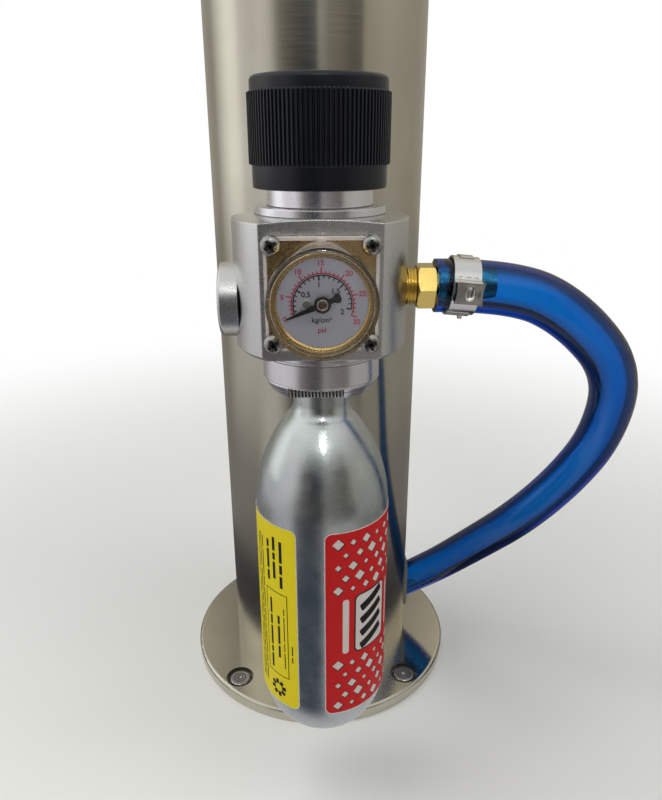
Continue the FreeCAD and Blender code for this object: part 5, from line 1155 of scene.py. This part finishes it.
# What stands there, by direction in degrees: 0 is the front, positive turns to the object's right.
ROOM = [(-180, "wall"), (-128, "wall"), (-108, "card"), (-100, "window"), (-88, "window"),
        (-80, "chalk"), (-66, "stone"), (-56, "chalk"), (-47, "stone"), (-36, "clay"), (-27, "walnut"),
        (-16, "coal"), (0, "black"), (3, "grey"), (15, "clay"), (28, "bark"), (33, "walnut"),
        (45, "walnut"), (48, "wall"), (75, "pale_wall"), (120, "wall"), (180, "wall")]
CEILING_EDGE = [(-180, "walnut"), (-172, "clay"), (-163, "sand"), (-140, "stone"), (-94, "window"),
                (-47, "card"), (30, "card"), (60, "chalk"), (140, "sand"), (163, "sand"), (172, "clay"),
                (180, "walnut")]
CEILING = [(-180, "card"), (180, "card")]
# The table top as the gloss sees it: close to the tower, at a hand's width, and further out.
TABLE_NEAR = [(-180, "walnut"), (-62, "coal"), (-44, "stone"), (44, "stone"), (62, "coal"),
              (180, "walnut")]
TABLE_MID = [(-180, "clay"), (-110, "grey"), (-74, "grey"), (-60, "stone"), (-38, "stone"),
             (-31, "slate"), (-2, "slate"), (4, "chalk"), (38, "stone"), (52, "clay"), (75, "grey"),
             (180, "clay")]
TABLE_FAR = [(-180, "grey"), (-128, "wall"), (-106, "stone"), (-88, "chalk"), (-70, "chalk"),
             (-47, "stone"), (-36, "clay"), (-16, "soot"), (0, "soot"), (3, "wall"), (15, "clay"),
             (45, "bark"), (50, "pale_wall"), (90, "pale_wall"), (130, "wall"), (180, "grey")]


def round_the_tower(tree, stops):
    """Colour by compass direction about the tower."""
    place = add(tree, "TexCoord").outputs["Object"]
    parts = add(tree, "SeparateXYZ", {0: place})
    front = add(tree, "Math", {0: parts.outputs["Y"]}, operation="MULTIPLY")
    front.inputs[1].default_value = -1
    angle = add(tree, "Math", {0: parts.outputs["X"], 1: front.outputs[0]}, operation="ARCTAN2")
    share = add(tree, "MapRange", {"Value": angle.outputs[0]}, From_Min=-math.pi, From_Max=math.pi)
    ramp = add(tree, "ValToRGB", {"Fac": share.outputs[0]})
    for index, (degrees, tone) in enumerate(stops):
        position = (degrees + 180) / 360
        if index < 2:
            stop = ramp.color_ramp.elements[index]
            stop.position = position
        else:
            stop = ramp.color_ramp.elements.new(position)
        stop.color = colour(TONES[tone])
    return ramp.outputs[0]


def make_card(card, name, strength, first, second, start, end, direction):
    """Card that shows only in the gloss of the pieces. Its colours go from a first set to a second
    one over a span of height or of distance from the tower."""
    card.name = name
    material = bpy.data.materials.new(name)
    material.use_nodes = True
    tree = material.node_tree
    tree.nodes.clear()
    place = add(tree, "TexCoord").outputs["Object"]
    along = add(tree, "VectorMath", {0: place}, operation="MULTIPLY")
    along.inputs[1].default_value = direction
    reach = add(tree, "VectorMath", {0: along.outputs[0]}, operation="LENGTH")
    share = add(tree, "MapRange", {"Value": reach.outputs["Value"]}, interpolation_type="SMOOTHSTEP",
                From_Min=start, From_Max=end)
    blend = add(tree, "Mix", {"Factor": share.outputs[0]}, data_type="RGBA")
    tree.links.new(round_the_tower(tree, first), blend.inputs[6])
    tree.links.new(round_the_tower(tree, second), blend.inputs[7])
    glow = add(tree, "Emission", {"Color": blend.outputs[2]}, Strength=strength)
    clear = add(tree, "BsdfTransparent")
    path = add(tree, "LightPath")
    bounced = add(tree, "Math", {0: path.outputs["Glossy Depth"]}, operation="MINIMUM")
    bounced.inputs[1].default_value = 1
    mix = add(tree, "MixShader", {0: bounced.outputs[0], 1: clear.outputs[0], 2: glow.outputs[0]})
    add(tree, "OutputMaterial", {"Surface": mix.outputs[0]})
    card.data.materials.append(material)
    card.visible_camera = False
    card.visible_diffuse = False
    card.visible_shadow = False


def make_stage():
    """World, table, reflection cards and lamps. The world is white where it is seen, and dimmer for
    the light that it sheds on the pieces."""
    world = bpy.data.worlds.new("studio")
    bpy.context.scene.world = world
    world.use_nodes = True
    tree = world.node_tree
    background = tree.nodes["Background"]
    path = add(tree, "LightPath")
    lit = add(tree, "Math", {0: path.outputs["Diffuse Depth"]}, operation="MINIMUM")
    lit.inputs[1].default_value = 1
    level = add(tree, "MapRange", {"Value": lit.outputs[0]}, To_Min=1.0, To_Max=0.4)
    tree.links.new(level.outputs[0], background.inputs["Strength"])
    background.inputs["Color"].default_value = (1, 1, 1, 1)
    make_floor()

    clear_selection()
    bpy.ops.mesh.primitive_cylinder_add(vertices=180, radius=1.6, depth=2.6, end_fill_type="NOTHING",
                                        location=(0, 0, 1.3))
    wall = fix_place(bpy.context.active_object)
    make_card(wall, "reflection_wall", 1.2, ROOM, CEILING_EDGE, 0.55, 1.4, (0, 0, 1))
    ring = turned([(60, 0.4), (190, 0.4)], 180, start="open", end="open")
    make_card(ring, "reflection_table", 0.9, TABLE_NEAR, TABLE_MID, 0.1, 0.145, (1, 1, 0))
    ring = turned([(190, 0.4), (1600, 0.4)], 180, start="open", end="open")
    make_card(ring, "reflection_far_table", 0.9, TABLE_MID, TABLE_FAR, 0.2, 0.45, (1, 1, 0))
    clear_selection()
    bpy.ops.mesh.primitive_circle_add(vertices=90, radius=1.6, fill_type="NGON", location=(0, 0, 2.6))
    ceiling = fix_place(bpy.context.active_object)
    make_card(ceiling, "reflection_ceiling", 1.0, CEILING, CEILING, 0, 1, (1, 1, 0))

    lamp("key_softbox", (-0.7, -0.1, 1.3), 0.8, 6.8)
    lamp("fill_softbox", (0.9, -0.5, 1.0), 0.8, 3.8)
    lamp("top_softbox", (0.0, -0.12, 1.6), 1.2, 5.5)
    lamp("ceiling_spot", (0.07, -1.2, 1.1), 0.1, 1.2, glint=True)


def make_floor():
    """White laminate table that fades into the backdrop with distance."""
    clear_selection()
    bpy.ops.mesh.primitive_plane_add(size=8)
    floor = bpy.context.active_object
    floor.name = "floor"
    material, tree, shader, place = surface("white_laminate_table", "#eeeeea", 0.0, 0.4)
    vary(tree, shader, place, 30, 0.36, 0.46)
    reach = add(tree, "VectorMath", {0: place}, operation="LENGTH")
    fade = add(tree, "MapRange", {"Value": reach.outputs["Value"]}, interpolation_type="SMOOTHSTEP",
               From_Min=0.16, From_Max=0.55)
    path = add(tree, "LightPath")
    seen = add(tree, "Math", {0: path.outputs["Is Camera Ray"], 1: path.outputs["Is Transmission Ray"]},
               operation="MAXIMUM")
    share = add(tree, "Math", {0: fade.outputs[0], 1: seen.outputs[0]}, operation="MULTIPLY")
    white = add(tree, "Emission", Strength=1.0)
    mix = add(tree, "MixShader", {0: share.outputs[0], 1: shader.outputs[0], 2: white.outputs[0]})
    output = next(node for node in tree.nodes if node.type == "OUTPUT_MATERIAL")
    tree.links.new(mix.outputs[0], output.inputs["Surface"])
    floor.data.materials.append(material)


def lamp(name, place, size, power, glint=False):
    """Square lamp aimed at the tower. A glint lamp shows only in the gloss, the others never do."""
    clear_selection()
    bpy.ops.object.light_add(type="AREA", location=place)
    light = bpy.context.active_object
    light.name = name
    light.data.shape = "SQUARE"
    light.data.size = size
    light.data.energy = power
    light.visible_glossy = glint
    light.visible_diffuse = not glint
    aim = Vector((0, 0, 0.15)) - Vector(place)
    light.rotation_euler = aim.to_track_quat("-Z", "Y").to_euler()


make_camera()
finish = make_materials()
for make in (make_hose, dress_nodes, make_knob, make_outlet, make_clamp, make_cover, make_bezel,
             make_cover_screws, make_dial_print, make_hand, make_springs, make_serration,
             make_screw_rings, make_turned_grooves, make_neck_thread, make_labels):
    make(finish)
make_stage()
bpy.context.scene.view_settings.view_transform = "Standard"
